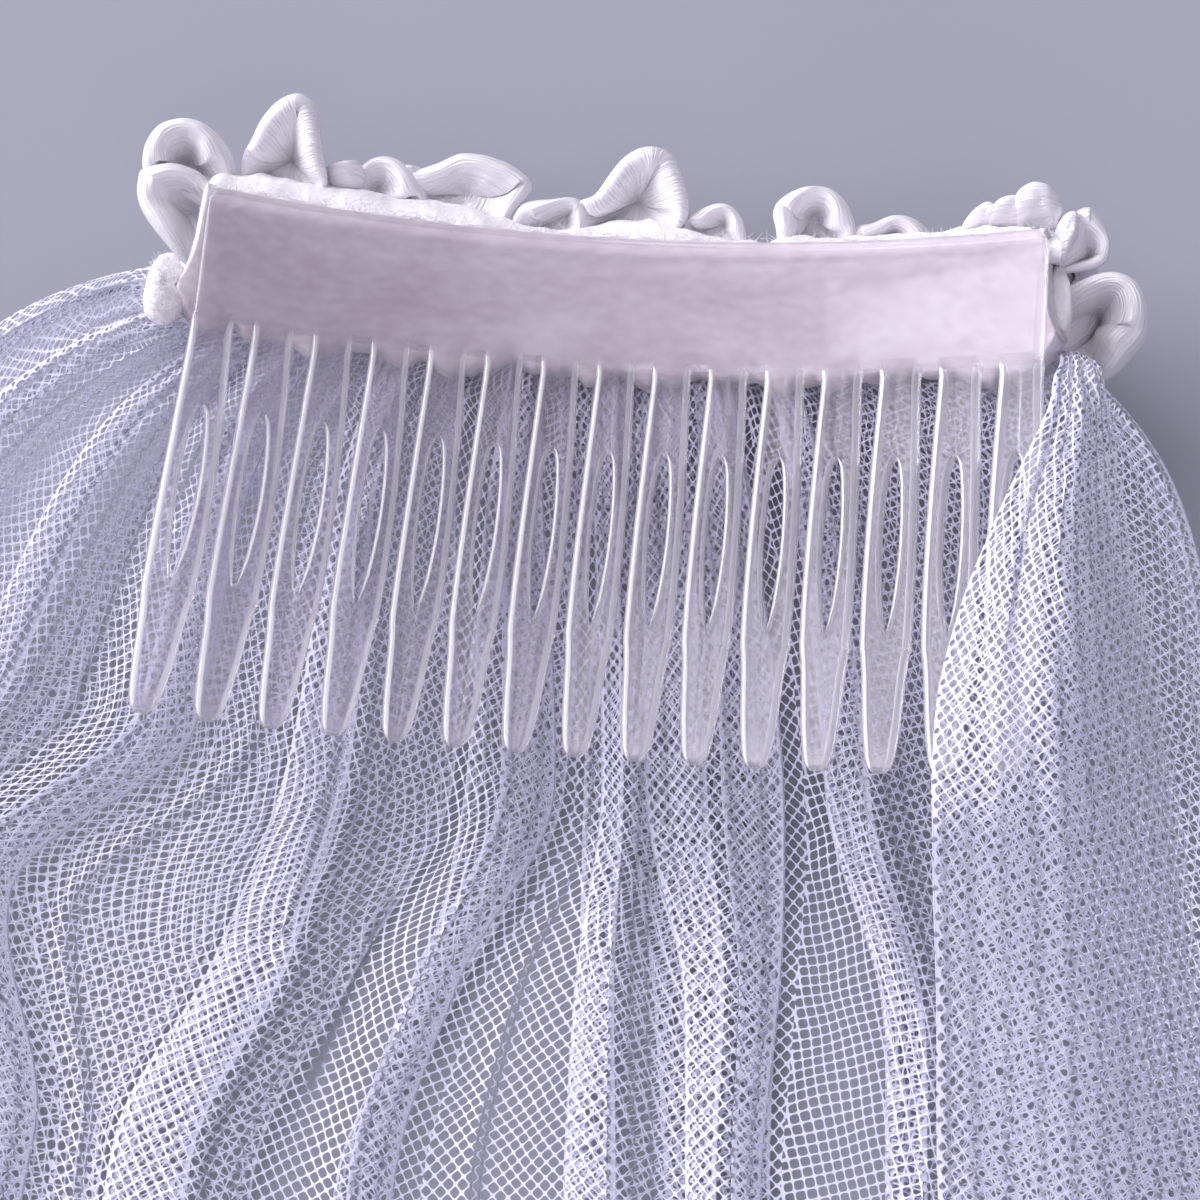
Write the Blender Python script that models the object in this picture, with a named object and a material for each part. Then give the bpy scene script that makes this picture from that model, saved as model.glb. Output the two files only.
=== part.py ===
"""Bridal veil: a plain tulle fall gathered onto a clear moulded hair comb, with satin ribbon rosettes.

The veil lies on a surface with the hollow side of the comb up. The comb rests on its rosettes, and the
tulle leaves the heading behind the comb, comes down to the surface and spreads out to the hem.

Frame: +X runs to the right end of the comb, +Y from the hem to the comb, +Z up. The surface is z = 0 and
the origin is under the middle of the footprint. Sizes in the tables are millimetres; MM makes them metres.
"""

import math

import bmesh
import bpy
import numpy as np
from mathutils import Euler, Vector

MM = 0.001
SEAM_GAP = 0.3

# Comb, in its own frame: X along the spine, Y up from the root line of the teeth, Z to the hollow side.
COMB_WIDTH = 80.0
SPINE_HEIGHT = 12.6
SPINE_THICK = 2.2
RIM_HEIGHT = 1.6
RIM_PROUD = 0.4
TOOTH_COUNT = 15
TOOTH_LENGTH = 39.6
TOOTH_THICK = 1.9
TIP_THICK = 1.3
TIP_CURL = 6.7
ARCH_RADIUS = 100.0
SLOT_END_HALF = 0.35

# One row for each station down a tooth: share of its length, half width, half width of its slot.
TOOTH_SECTIONS = (
    # along, half, slot
    (0.00, 1.80, 0.00),
    (0.22, 2.12, 0.00),
    (0.29, 2.20, 0.72),
    (0.43, 2.32, 1.02),
    (0.56, 2.36, 0.90),
    (0.64, 2.32, 0.55),
    (0.69, 2.28, 0.00),
    (0.75, 2.02, 0.00),
    (0.90, 1.62, 0.00),
    (0.975, 1.18, 0.00),
    (1.00, 0.55, 0.00),
)
SLOT_FIRST = 1
SLOT_LAST = 6

# Where the comb lies: the middle of its root line over the surface, and its tilt.
COMB_PLACE = (0.0, 0.0, 14.5)
COMB_TILT_DEG = (7.9, -3.9, -5.5)

# Heading: the bunched, glued top of the tulle behind the spine.
HEADING_THICK = 3.4
HEADING_LOW = 0.8
HEADING_HIGH = 14.0
HEADING_OVERHANG = 1.6
HEADING_CORNER = 3.0
HEADING_RIPPLES = 30
HEADING_RIPPLE = 0.35

# Tulle: walls that follow the laid cloth. A level is one layer of a pleat above the one below.
WALL = 1.0
LEVEL_AT_COMB = 1.3
LEVEL_AT_HEM = 2.4
VEIL_LENGTH = 450.0
LEFT_WRAP = 5.8
FLOW_STEP = 2.5
# Directions of the cloth's run, in degrees from straight down to the hem, at the comb and at the hem.
RUN_LEFT = (-79.0, -12.0)
RUN_MIDDLE = (-4.0, 0.0)
RUN_RIGHT = (47.0, 7.0)
TURN_LEFT = 32.0
TURN_MIDDLE = 42.0
TURN_RIGHT = 14.0
RUN_POWER = 1.5
# How far from the comb the cloth reaches the surface, at the left edge, the middle and the right edge.
FALL_LEFT = 92.0
FALL_MIDDLE = 46.0
FALL_RIGHT = 74.0

# Distances down the cloth, from the heading, at which a wall has a section.
ROWS = (0.0, 4.0, 10.0, 18.0, 29.0, 41.0, 54.0, 68.0, 90.0, 140.0, 230.0, 340.0, 450.0)
# Distances down the cloth of the columns at, and wide, in the fold tables.
STATIONS = (0.0, 40.0, 60.0, 80.0, 450.0)

# The folds of each stretch, from left to right. at: place of the crisp edge, or of a ridge's crest, across
# the fan at STATIONS, from -1 at the left edge to 1 at the right one. wide: width of the top layer, or of
# the ridge, in millimetres at STATIONS. RIDGE_RISE is a ridge's height as a share of its width there.
RIDGE_RISE = (0.0, 0.15, 0.20, 0.24, 0.45)
LEFT_FOLDS = (
    # kind, at, wide
    ("edge_left", (-1.0, -1.0, -1.0, -1.0, -1.0), (1.6, 3.0, 3.0, 4.0, 9.0)),
    ("left", (-0.90, -0.90, -0.915, -0.90, -0.88), (3.4, 6.0, 6.0, 7.0, 12.0)),
    ("left", (-0.78, -0.73, -0.82, -0.78, -0.76), (3.4, 6.5, 6.5, 7.0, 12.0)),
    ("right", (-0.57, -0.46, -0.61, -0.53, -0.52), (4.2, 8.0, 7.5, 8.0, 14.0)),
)
MIDDLE_LEFT_FOLDS = (
    ("ridge", (-0.497, -0.40, -0.549, -0.486, -0.456), (2.0, 3.0, 3.0, 2.4, 9.0)),
    ("left", (-0.44, -0.35, -0.385, -0.455, -0.38), (4.0, 8.5, 10.0, 11.0, 14.0)),
    ("right", (-0.11, -0.03, -0.13, -0.18, -0.10), (4.2, 7.5, 6.2, 6.0, 12.0)),
)
MIDDLE_FOLDS = (
    ("ridge", (-0.048, 0.019, -0.07, -0.11, -0.03), (0.8, 0.8, 2.0, 3.0, 8.0)),
    ("left", (-0.015, 0.035, 0.0, -0.01, 0.02), (4.0, 3.3, 5.5, 7.0, 12.0)),
    ("box", (0.09, 0.098, 0.145, 0.14, 0.16), (9.0, 13.5, 9.0, 7.0, 12.0)),
)
RIGHT_FOLDS = (
    ("left", (0.36, 0.35, 0.40, 0.38, 0.36), (4.0, 6.0, 5.5, 5.5, 12.0)),
    ("edge_right", (1.0, 1.0, 1.0, 1.0, 1.0), (1.6, 3.0, 3.0, 4.0, 9.0)),
)
LEFT_SEAM = (-0.538, -0.435, -0.584, -0.51, -0.50)
MIDDLE_LEFT_SEAM = (-0.076, -0.003, -0.104, -0.155, -0.078)
MIDDLE_SEAM = (0.305, 0.323, 0.287, 0.254, 0.27)
STRETCHES = (
    # name, folds, left end, right end: a seam, or None where a fold ends the cloth
    ("tulle_left", LEFT_FOLDS, None, LEFT_SEAM),
    ("tulle_middle_left", MIDDLE_LEFT_FOLDS, LEFT_SEAM, MIDDLE_LEFT_SEAM),
    ("tulle_middle", MIDDLE_FOLDS, MIDDLE_LEFT_SEAM, MIDDLE_SEAM),
    ("tulle_right", RIGHT_FOLDS, MIDDLE_SEAM, None),
)

# The stretch that is folded back over the right end of the comb. A row for each section, from its apex at
# the corner of the spine to the hem: how far down, the edges and the crest across, and their heights.
OVER_ROWS = (
    # y, left x, right x, left z, crest z, right z
    (-6.6, 39.9, 44.6, 25.2, 25.2, 24.9),
    (-9.5, 39.2, 44.9, 26.4, 26.4, 24.6),
    (-13.0, 37.6, 45.3, 26.6, 26.9, 24.2),
    (-20.0, 34.0, 46.2, 25.0, 26.8, 22.5),
    (-30.0, 29.8, 48.6, 23.8, 27.5, 18.5),
    (-39.0, 27.4, 50.2, 25.0, 28.5, 15.5),
    (-47.0, 26.8, 51.4, 25.0, 28.0, 12.5),
    (-53.0, 27.2, 52.4, 19.0, 21.5, 9.0),
    (-63.0, 28.0, 54.0, 9.5, 11.0, 5.4),
    (-80.0, 28.3, 55.5, 4.9, 4.4, 2.9),
    (-110.0, 33.0, 58.0, 4.9, 3.2, 2.3),
    (-140.0, 39.0, 60.5, 2.4, 2.4, 2.1),
    (-230.0, 47.0, 70.0, 2.1, 2.1, 2.1),
    (-340.0, 56.0, 80.5, 2.1, 2.1, 2.1),
    (-441.0, 64.0, 90.0, 2.1, 2.1, 2.1),
)
# Its section: the folded left edge, whose under layer is short, then three soft ridges that run out from
# the corner. A row for each point, in the order of the cloth.
OVER_SECTION = (
    # place from left to right as a share of the width, levels up, ridge height in millimetres
    (0.130, 0.0, 0.0),
    (0.050, 0.0, 0.0),
    (0.000, 0.5, 0.0),
    (0.050, 1.0, 0.0),
    (0.200, 1.05, 0.0),
    (0.300, 0.95, 0.0),
    (0.370, 0.1, 0.0),
    (0.460, 0.0, 0.9),
    (0.560, 0.0, 0.0),
    (0.650, 0.0, 0.9),
    (0.740, 0.0, 0.0),
    (0.830, 0.0, 1.1),
    (0.920, 0.0, 0.0),
    (1.000, 0.0, 0.0),
)
OVER_CREST = 0.42
OVER_LEVEL = 1.5

# Rosettes of satin ribbon, under the upper edge of the spine. A row for each: its centre, its top and the
# height of the petals' plane over the surface.
ROSETTES = (
    # name, x, y, top z, petal z
    ("rosette_1", -37.0, 15.5, 14.9, 11.5),
    ("rosette_2", -18.0, 15.5, 11.2, 7.5),
    ("rosette_3", 2.0, 15.0, 10.9, 6.5),
    ("rosette_4", 22.5, 13.0, 14.4, 9.0),
    ("rosette_5", 41.0, 9.0, 20.9, 16.0),
)
# The petals of each rosette: direction in degrees, reach from the centre, width, rise of the tip.
PETALS = {
    "rosette_1": (
        (35.0, 11.0, 7.0, 1.0),
        (77.0, 16.2, 9.0, 3.0),
        (125.0, 12.6, 9.5, 3.0),
        (166.0, 11.3, 9.0, 3.0),
        (-120.0, 7.0, 8.0, -1.5),
        (-40.0, 7.0, 8.0, -2.0),
    ),
    "rosette_2": (
        (38.0, 11.6, 9.0, 2.6),
        (74.0, 11.9, 9.0, 2.5),
        (127.0, 12.0, 8.5, 2.0),
        (-160.0, 7.5, 8.0, -1.0),
        (-90.0, 7.0, 8.0, -2.0),
        (-25.0, 7.5, 8.0, -1.0),
    ),
    "rosette_3": (
        (25.0, 11.7, 8.5, 1.5),
        (86.0, 13.0, 10.0, 3.0),
        (152.0, 12.6, 9.0, 0.0),
        (-145.0, 7.0, 8.0, -1.5),
        (-90.0, 7.0, 8.0, -2.0),
        (-30.0, 7.0, 8.0, -1.5),
    ),
    "rosette_4": (
        (40.0, 9.0, 8.0, 1.0),
        (112.0, 9.8, 10.0, 2.5),
        (170.0, 7.5, 8.0, -0.5),
        (-120.0, 7.0, 8.0, -2.0),
        (-45.0, 7.0, 8.0, -2.0),
    ),
    "rosette_5": (
        (44.0, 9.3, 8.5, 2.5),
        (92.0, 9.0, 7.5, 2.5),
        (140.0, 8.6, 8.0, 1.0),
        (-38.0, 12.4, 12.5, 1.5),
        (-110.0, 7.0, 8.0, -2.0),
        (-165.0, 7.0, 8.0, -2.0),
    ),
}
PETAL_STEPS = 36
PETAL_RINGS = (0.35, 0.70, 1.0)
PETAL_WALL = 1.0
PETAL_CUP = 1.6
CORE_RADIUS = 3.6
VALLEY_RADIUS = 4.6
BUD_LENGTH = 7.5


def clear_scene():
    for obj in list(bpy.data.objects):
        bpy.data.objects.remove(obj, do_unlink=True)


def make_material(name, colour, roughness, **inputs):
    material = bpy.data.materials.new(name)
    material.use_nodes = True
    shader = material.node_tree.nodes["Principled BSDF"]
    shader.inputs["Base Color"].default_value = (*colour, 1.0)
    shader.inputs["Roughness"].default_value = roughness
    shader.inputs["Metallic"].default_value = 0.0
    for key, value in inputs.items():
        shader.inputs[key.replace("_", " ")].default_value = value
    return material


def make_object(name, mesh_data, material, parent, smooth_angle=40.0):
    """An object from a bmesh given in millimetres, its faces turned outwards."""
    bmesh.ops.recalc_face_normals(mesh_data, faces=mesh_data.faces)
    bmesh.ops.scale(mesh_data, vec=(MM, MM, MM), verts=mesh_data.verts)
    mesh = bpy.data.meshes.new(name)
    mesh_data.to_mesh(mesh)
    mesh_data.free()
    mesh.materials.append(material)
    mesh.shade_smooth()
    mesh.set_sharp_from_angle(angle=math.radians(smooth_angle))
    obj = bpy.data.objects.new(name, mesh)
    bpy.context.scene.collection.objects.link(obj)
    obj.parent = parent
    return obj


# Comb


def comb_pose(point):
    """A point of the comb's own frame, in millimetres, where the comb lies."""
    tilt = Euler([math.radians(angle) for angle in COMB_TILT_DEG])
    return Vector(COMB_PLACE) + tilt.to_matrix() @ Vector(point)


def bend_to_arch(x, y, z):
    """A point of the flat comb, moved to the arch of the spine and the curl of the teeth."""
    lean = math.asin(x / ARCH_RADIUS)
    curl = TIP_CURL * (max(0.0, -y) / TOOTH_LENGTH) ** 2
    rise = ARCH_RADIUS * (1.0 - math.cos(lean))
    return (x - z * math.sin(lean), y, rise + z * math.cos(lean) + curl)


def tooth_centres():
    pitch = (COMB_WIDTH - 2.0 * TOOTH_SECTIONS[0][1]) / (TOOTH_COUNT - 1)
    first = -COMB_WIDTH / 2.0 + TOOTH_SECTIONS[0][1]
    return [first + pitch * index for index in range(TOOTH_COUNT)]


def comb_row(mesh_data, columns, y, front, back):
    """The front and back points of one row of columns across the comb."""
    fronts = [mesh_data.verts.new(bend_to_arch(x, y, front)) for x in columns]
    backs = [mesh_data.verts.new(bend_to_arch(x, y, back)) for x in columns]
    return fronts, backs


def skin_band(mesh_data, upper, lower, columns):
    """Front and back faces between two rows, over the named columns."""
    for i in columns:
        mesh_data.faces.new((upper[0][i], lower[0][i], lower[0][i + 1], upper[0][i + 1]))
        mesh_data.faces.new((upper[1][i + 1], lower[1][i + 1], lower[1][i], upper[1][i]))


def wall_along(mesh_data, rows, column):
    """The edge faces that join front and back down one column."""
    for upper, lower in zip(rows, rows[1:]):
        mesh_data.faces.new((upper[0][column], upper[1][column], lower[1][column], lower[0][column]))


def wall_across(mesh_data, row, columns):
    """The edge faces that join front and back along one row."""
    for i in columns:
        mesh_data.faces.new((row[0][i], row[0][i + 1], row[1][i + 1], row[1][i]))


def add_tooth(mesh_data, centre, root_row, root_column):
    """One tooth below its four columns of the root row, with its almond slot."""
    first = root_column
    rows = [tuple(side[first:first + 4] for side in root_row)]
    for along, half, slot in TOOTH_SECTIONS[1:]:
        inner = max(slot, min(SLOT_END_HALF, half * 0.6))
        thick = TOOTH_THICK + (TIP_THICK - TOOTH_THICK) * along
        columns = (centre - half, centre - inner, centre + inner, centre + half)
        rows.append(comb_row(mesh_data, columns, -along * TOOTH_LENGTH, thick / 2.0, -thick / 2.0))
    for index, (upper, lower) in enumerate(zip(rows, rows[1:])):
        slotted = SLOT_FIRST <= index < SLOT_LAST
        skin_band(mesh_data, upper, lower, (0, 2) if slotted else (0, 1, 2))
    wall_along(mesh_data, rows, 0)
    wall_along(mesh_data, rows, 3)
    wall_along(mesh_data, rows[SLOT_FIRST:SLOT_LAST + 1], 1)
    wall_along(mesh_data, rows[SLOT_FIRST:SLOT_LAST + 1], 2)
    wall_across(mesh_data, rows[SLOT_FIRST], (1,))
    wall_across(mesh_data, rows[SLOT_LAST], (1,))
    wall_across(mesh_data, rows[-1], (0, 1, 2))


def build_comb(material, parent):
    """The moulded comb: an arched spine with a rim, and slotted teeth below it, in one piece."""
    mesh_data = bmesh.new()
    centres = tooth_centres()
    root_half = TOOTH_SECTIONS[0][1]
    columns = []
    for centre in centres:
        columns += [centre - root_half, centre - SLOT_END_HALF, centre + SLOT_END_HALF, centre + root_half]
    half = SPINE_THICK / 2.0
    spine_rows = (
        # y, front, back
        (SPINE_HEIGHT, half + RIM_PROUD, -half),
        (SPINE_HEIGHT - RIM_HEIGHT, half + RIM_PROUD, -half),
        (SPINE_HEIGHT - RIM_HEIGHT - RIM_PROUD, half, -half),
        (0.0, half, -half),
    )
    rows = [comb_row(mesh_data, columns, *row) for row in spine_rows]
    for upper, lower in zip(rows, rows[1:]):
        skin_band(mesh_data, upper, lower, range(len(columns) - 1))
    wall_across(mesh_data, rows[0], range(len(columns) - 1))
    wall_across(mesh_data, rows[-1], range(3, len(columns) - 1, 4))
    wall_along(mesh_data, rows, 0)
    wall_along(mesh_data, rows, len(columns) - 1)
    for index, centre in enumerate(centres):
        add_tooth(mesh_data, centre, rows[-1], 4 * index)
    comb = make_object("comb", mesh_data, material, parent, 30.0)
    comb.location = Vector(COMB_PLACE) * MM
    comb.rotation_euler = [math.radians(angle) for angle in COMB_TILT_DEG]
    return comb


# Heading


def heading_face():
    """Depth of the heading's upper face in the comb's frame, just behind the spine."""
    return -SPINE_THICK / 2.0 - SEAM_GAP


def build_heading(material, parent):
    """The glued bunch of tulle behind the spine, with the gathers' ripples along its far side."""
    mesh_data = bmesh.new()
    upper = heading_face()
    steps = 4 * HEADING_RIPPLES
    low = -COMB_WIDTH / 2.0 - HEADING_OVERHANG
    span = COMB_WIDTH + 2.0 * HEADING_OVERHANG
    stations = []
    for step in range(steps + 1):
        x = low + span * step / steps
        ripple = HEADING_RIPPLE * math.sin(2.0 * math.pi * HEADING_RIPPLES * step / steps)
        ends = 0.6 * (2.0 * step / steps - 1.0) ** 8
        inside = min(x - low, low + span - x, HEADING_CORNER)
        lift = HEADING_CORNER - math.sqrt(HEADING_CORNER**2 - (HEADING_CORNER - inside) ** 2)
        outline = (
            (HEADING_LOW + lift, upper),
            (HEADING_HIGH + ripple, upper - ends),
            (HEADING_HIGH + ripple, upper - HEADING_THICK + 0.8),
            (HEADING_HIGH - 1.6, upper - HEADING_THICK - ripple + ends),
            (HEADING_LOW + lift, upper - HEADING_THICK + ends),
        )
        stations.append([mesh_data.verts.new(comb_pose(bend_to_arch(x, y, z))) for y, z in outline])
    count = len(stations[0])
    for left, right in zip(stations, stations[1:]):
        for i in range(count):
            j = (i + 1) % count
            mesh_data.faces.new((left[i], left[j], right[j], right[i]))
    mesh_data.faces.new(stations[0][::-1])
    mesh_data.faces.new(stations[-1])
    return make_object("gathered_heading", mesh_data, material, parent)


# Tulle


def eased(share):
    """Falls smoothly from 1 to 0 as share goes from 0 to 1."""
    return 0.5 * (1.0 + np.cos(np.pi * np.clip(share, 0.0, 1.0)))


def start_path():
    """The line the cloth leaves the heading along: down its left end, round the corner, and along below it."""
    reach = COMB_WIDTH / 2.0 + HEADING_OVERHANG + SEAM_GAP + WALL / 2.0
    low = HEADING_LOW - 2.0 * SEAM_GAP - 0.1
    turn = HEADING_CORNER + SEAM_GAP + WALL / 2.0
    path = [(-reach, low + LEFT_WRAP)]
    for angle in range(180, 271, 15):
        x = turn - reach + turn * math.cos(math.radians(angle))
        path.append((x, low + turn + turn * math.sin(math.radians(angle))))
    path.append((reach, low))
    return np.array(path)


def start_point(across):
    """Where one line of the cloth leaves the heading."""
    path = start_path()
    steps = np.hypot(*np.diff(path, axis=0).T)
    run = np.concatenate(([0.0], np.cumsum(steps)))
    here = (across + 1.0) / 2.0 * run[-1]
    depth = heading_face() - HEADING_THICK - 0.1
    return comb_pose(bend_to_arch(np.interp(here, run, path[:, 0]), np.interp(here, run, path[:, 1]), depth))


def edge_share(across):
    """How much a line of the cloth follows the edge rather than the middle."""
    return abs(across) ** 1.15


def flow_line(across):
    """Plan points, every FLOW_STEP down the cloth, of one line that runs from the comb to the hem."""
    side, turn = (RUN_LEFT, TURN_LEFT) if across < 0.0 else (RUN_RIGHT, TURN_RIGHT)
    share = edge_share(across)
    first = RUN_MIDDLE[0] + (side[0] - RUN_MIDDLE[0]) * share
    last = RUN_MIDDLE[1] + (side[1] - RUN_MIDDLE[1]) * share
    length = TURN_MIDDLE + (turn - TURN_MIDDLE) * share
    down = np.arange(0.0, VEIL_LENGTH + FLOW_STEP / 2.0, FLOW_STEP)
    run = np.radians(last + (first - last) * np.exp(-((down / length) ** RUN_POWER)))
    start = start_point(across)
    middle_x = (np.sin(run[1:]) + np.sin(run[:-1])) / 2.0
    middle_y = (np.cos(run[1:]) + np.cos(run[:-1])) / 2.0
    x = start.x + np.concatenate(([0.0], np.cumsum(middle_x * FLOW_STEP)))
    y = start.y - np.concatenate(([0.0], np.cumsum(middle_y * FLOW_STEP)))
    return x, y, start.z


class Fan:
    """The spread of the laid cloth: plan place and base height for any place across and down it."""

    def __init__(self):
        self.across = np.linspace(-1.0, 1.0, 121)
        lines = [flow_line(across) for across in self.across]
        self.down = np.arange(0.0, VEIL_LENGTH + FLOW_STEP / 2.0, FLOW_STEP)
        self.x = np.array([line[0] for line in lines])
        self.y = np.array([line[1] for line in lines])
        self.start_z = np.array([line[2] for line in lines])

    def row(self, down):
        """Plan x and y along the whole row at one distance down, at self.across."""
        x = np.array([np.interp(down, self.down, line) for line in self.x])
        y = np.array([np.interp(down, self.down, line) for line in self.y])
        return x, y

    def base(self, across, down):
        """Height of the middle of the lowest layer."""
        start = np.interp(across, self.across, self.start_z)
        left, right = np.clip(-across, 0.0, 1.0), np.clip(across, 0.0, 1.0)
        reach = FALL_MIDDLE + (FALL_LEFT - FALL_MIDDLE) * left + (FALL_RIGHT - FALL_MIDDLE) * right
        return WALL / 2.0 + (start - WALL / 2.0) * eased(down / reach)


def level_height(down):
    return LEVEL_AT_COMB + (LEVEL_AT_HEM - LEVEL_AT_COMB) * down / VEIL_LENGTH


def fold_points(kind, at, wide, level, high):
    """One fold's section as (place, levels up) pairs in cloth order, places in millimetres from its edge."""
    turn = level / 2.0
    tuck = max(0.5 * wide, 2.4 * turn)
    drop = tuck + WALL / 2.0 + 0.75
    far = max(wide, drop + 0.3)
    if kind == "ridge":
        rise = high / level
        places = ((-0.5 * wide, 0.0), (-0.25 * wide, 0.7 * rise), (0.0, rise), (0.25 * wide, 0.7 * rise))
        places += ((0.5 * wide, 0.0),)
    elif kind in ("left", "right"):
        places = (
            (tuck - turn, 0.0),
            (tuck, 0.5),
            (tuck - turn, 1.0),
            (turn, 1.0),
            (0.0, 1.5),
            (turn, 2.0),
            (0.55 * tuck, 2.15),
            (drop - 0.2, 1.9),
            (far, 0.0),
        )
    elif kind in ("edge_left", "edge_right"):
        places = (
            (wide - 0.2, 0.0),
            (1.4 * turn, 0.0),
            (0.0, 0.5),
            (1.4 * turn, 1.0),
            (wide - 0.2, 1.05),
            (wide + 1.2, 0.95),
            (wide + 2.4, 0.0),
        )
    else:
        inner_left, inner_right = 0.5 * wide - 1.1, 0.5 * wide + 1.1
        places = (
            (inner_left - turn, 0.0),
            (inner_left, 0.5),
            (inner_left - turn, 1.0),
            (turn, 1.0),
            (0.0, 1.5),
            (turn, 2.0),
            (0.5 * wide, 2.3),
            (wide - turn, 2.0),
            (wide, 1.5),
            (wide - turn, 1.0),
            (inner_right + turn, 1.0),
            (inner_right, 0.5),
            (inner_right + turn, 0.0),
        )
    if kind in ("right", "edge_right"):
        places = tuple((-place, up) for place, up in reversed(places))
    return [(at + place, up) for place, up in places]


def at_station(values, down):
    return float(np.interp(down, STATIONS, values))


def stretch_section(fan, folds, left_end, right_end, down):
    """Middle line of one section: plan points, plan direction across, place across in mm, and height."""
    x, y = fan.row(down)
    run = np.concatenate(([0.0], np.cumsum(np.hypot(np.diff(x), np.diff(y)))))
    level = level_height(down)

    def place(across):
        return float(np.interp(across, fan.across, run))

    points = []
    if left_end is not None:
        points.append((place(at_station(left_end, down)) + SEAM_GAP / 2.0, 0.0))
    for kind, at, wide in folds:
        edge, width = place(at_station(at, down)), at_station(wide, down)
        points += fold_points(kind, edge, width, level, width * at_station(RIDGE_RISE, down))
    if right_end is not None:
        points.append((place(at_station(right_end, down)) - SEAM_GAP / 2.0, 0.0))
    along = np.array([point[0] for point in points])
    across = np.interp(along, run, fan.across)
    plan = np.stack((np.interp(along, run, x), np.interp(along, run, y)), axis=1)
    ahead = np.stack((np.interp(along + 0.5, run, x), np.interp(along + 0.5, run, y)), axis=1)
    behind = np.stack((np.interp(along - 0.5, run, x), np.interp(along - 0.5, run, y)), axis=1)
    direction = ahead - behind
    direction /= np.linalg.norm(direction, axis=1)[:, None]
    height = fan.base(across, down) + level * np.array([point[1] for point in points])
    return plan, direction, along, height


def offset_section(section, thickness):
    """The lower and upper faces of a wall round a section's middle line."""
    plan, direction, along, height = section
    line = np.stack((along, height), axis=1)
    steps = np.diff(line, axis=0)
    steps /= np.linalg.norm(steps, axis=1)[:, None]
    before = np.vstack((steps[:1], steps))
    after = np.vstack((steps, steps[-1:]))
    normal = np.stack((-(before + after)[:, 1], (before + after)[:, 0]), axis=1)
    normal /= np.linalg.norm(normal, axis=1)[:, None]
    lean = np.clip(normal[:, 0] * -after[:, 1] + normal[:, 1] * after[:, 0], 0.72, 1.0)
    reach = thickness / 2.0 / lean
    sides = []
    for sign in (-1.0, 1.0):
        shift = sign * reach[:, None] * normal
        ground = plan + direction * shift[:, :1]
        sides.append(np.column_stack((ground, height + shift[:, 1])))
    return sides


def build_wall(name, sections, thickness, material, parent):
    """A closed wall round a list of sections that have the same number of points."""
    mesh_data = bmesh.new()
    lower, upper = [], []
    for section in sections:
        below, above = offset_section(section, thickness)
        lower.append([mesh_data.verts.new(point) for point in below])
        upper.append([mesh_data.verts.new(point) for point in above])
    rows, columns = len(lower), len(lower[0])
    for i in range(rows - 1):
        for j in range(columns - 1):
            mesh_data.faces.new((upper[i][j], upper[i][j + 1], upper[i + 1][j + 1], upper[i + 1][j]))
            mesh_data.faces.new((lower[i][j], lower[i + 1][j], lower[i + 1][j + 1], lower[i][j + 1]))
        for j in (0, columns - 1):
            mesh_data.faces.new((upper[i][j], upper[i + 1][j], lower[i + 1][j], lower[i][j]))
    for i in (0, rows - 1):
        for j in range(columns - 1):
            mesh_data.faces.new((upper[i][j], lower[i][j], lower[i][j + 1], upper[i][j + 1]))
    return make_object(name, mesh_data, material, parent, 50.0)


def over_section(row):
    """One section of the stretch that lies over the teeth, as stretch_section gives it."""
    y, left_x, right_x, left_z, crest_z, right_z = row
    width = right_x - left_x
    level = max(level_height(-y), OVER_LEVEL)
    along = np.array([left_x + place * width for place, _, _ in OVER_SECTION])
    crest_x = left_x + OVER_CREST * width
    height = np.interp(along, (left_x, crest_x, right_x), (left_z, crest_z, right_z))
    soft = min(1.0, width / 40.0)
    height = height + np.array([level * up + soft * high for _, up, high in OVER_SECTION])
    plan = np.column_stack((along, np.full(len(along), y)))
    direction = np.column_stack((np.ones(len(along)), np.zeros(len(along))))
    return plan, direction, along, height


def build_tulle(material, parent):
    """The fall of the veil: four stretches round the fan, and the one folded back over the teeth."""
    fan = Fan()
    for name, folds, left_end, right_end in STRETCHES:
        sections = [stretch_section(fan, folds, left_end, right_end, down) for down in ROWS]
        build_wall(name, sections, WALL, material, parent)
    build_wall("tulle_right_over", [over_section(row) for row in OVER_ROWS], WALL, material, parent)


# Rosettes


def petal_reach(petals, angle):
    """Outer radius, rise and place across the petal of a rosette's outline at one angle."""
    reach, rise, across = VALLEY_RADIUS, 0.0, 1.0
    for toward, length, width, lift in petals:
        spread = math.atan2(width * 0.62, length * 0.62)
        turn = (angle - math.radians(toward) + math.pi) % (2.0 * math.pi) - math.pi
        share = abs(turn) / spread
        if share < 1.0:
            here = VALLEY_RADIUS + (length - VALLEY_RADIUS) * (1.0 - share ** 2.4) ** 0.6
            if here > reach:
                reach, rise, across = here, lift * (1.0 - share**2), share
    return reach, rise, across


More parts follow.
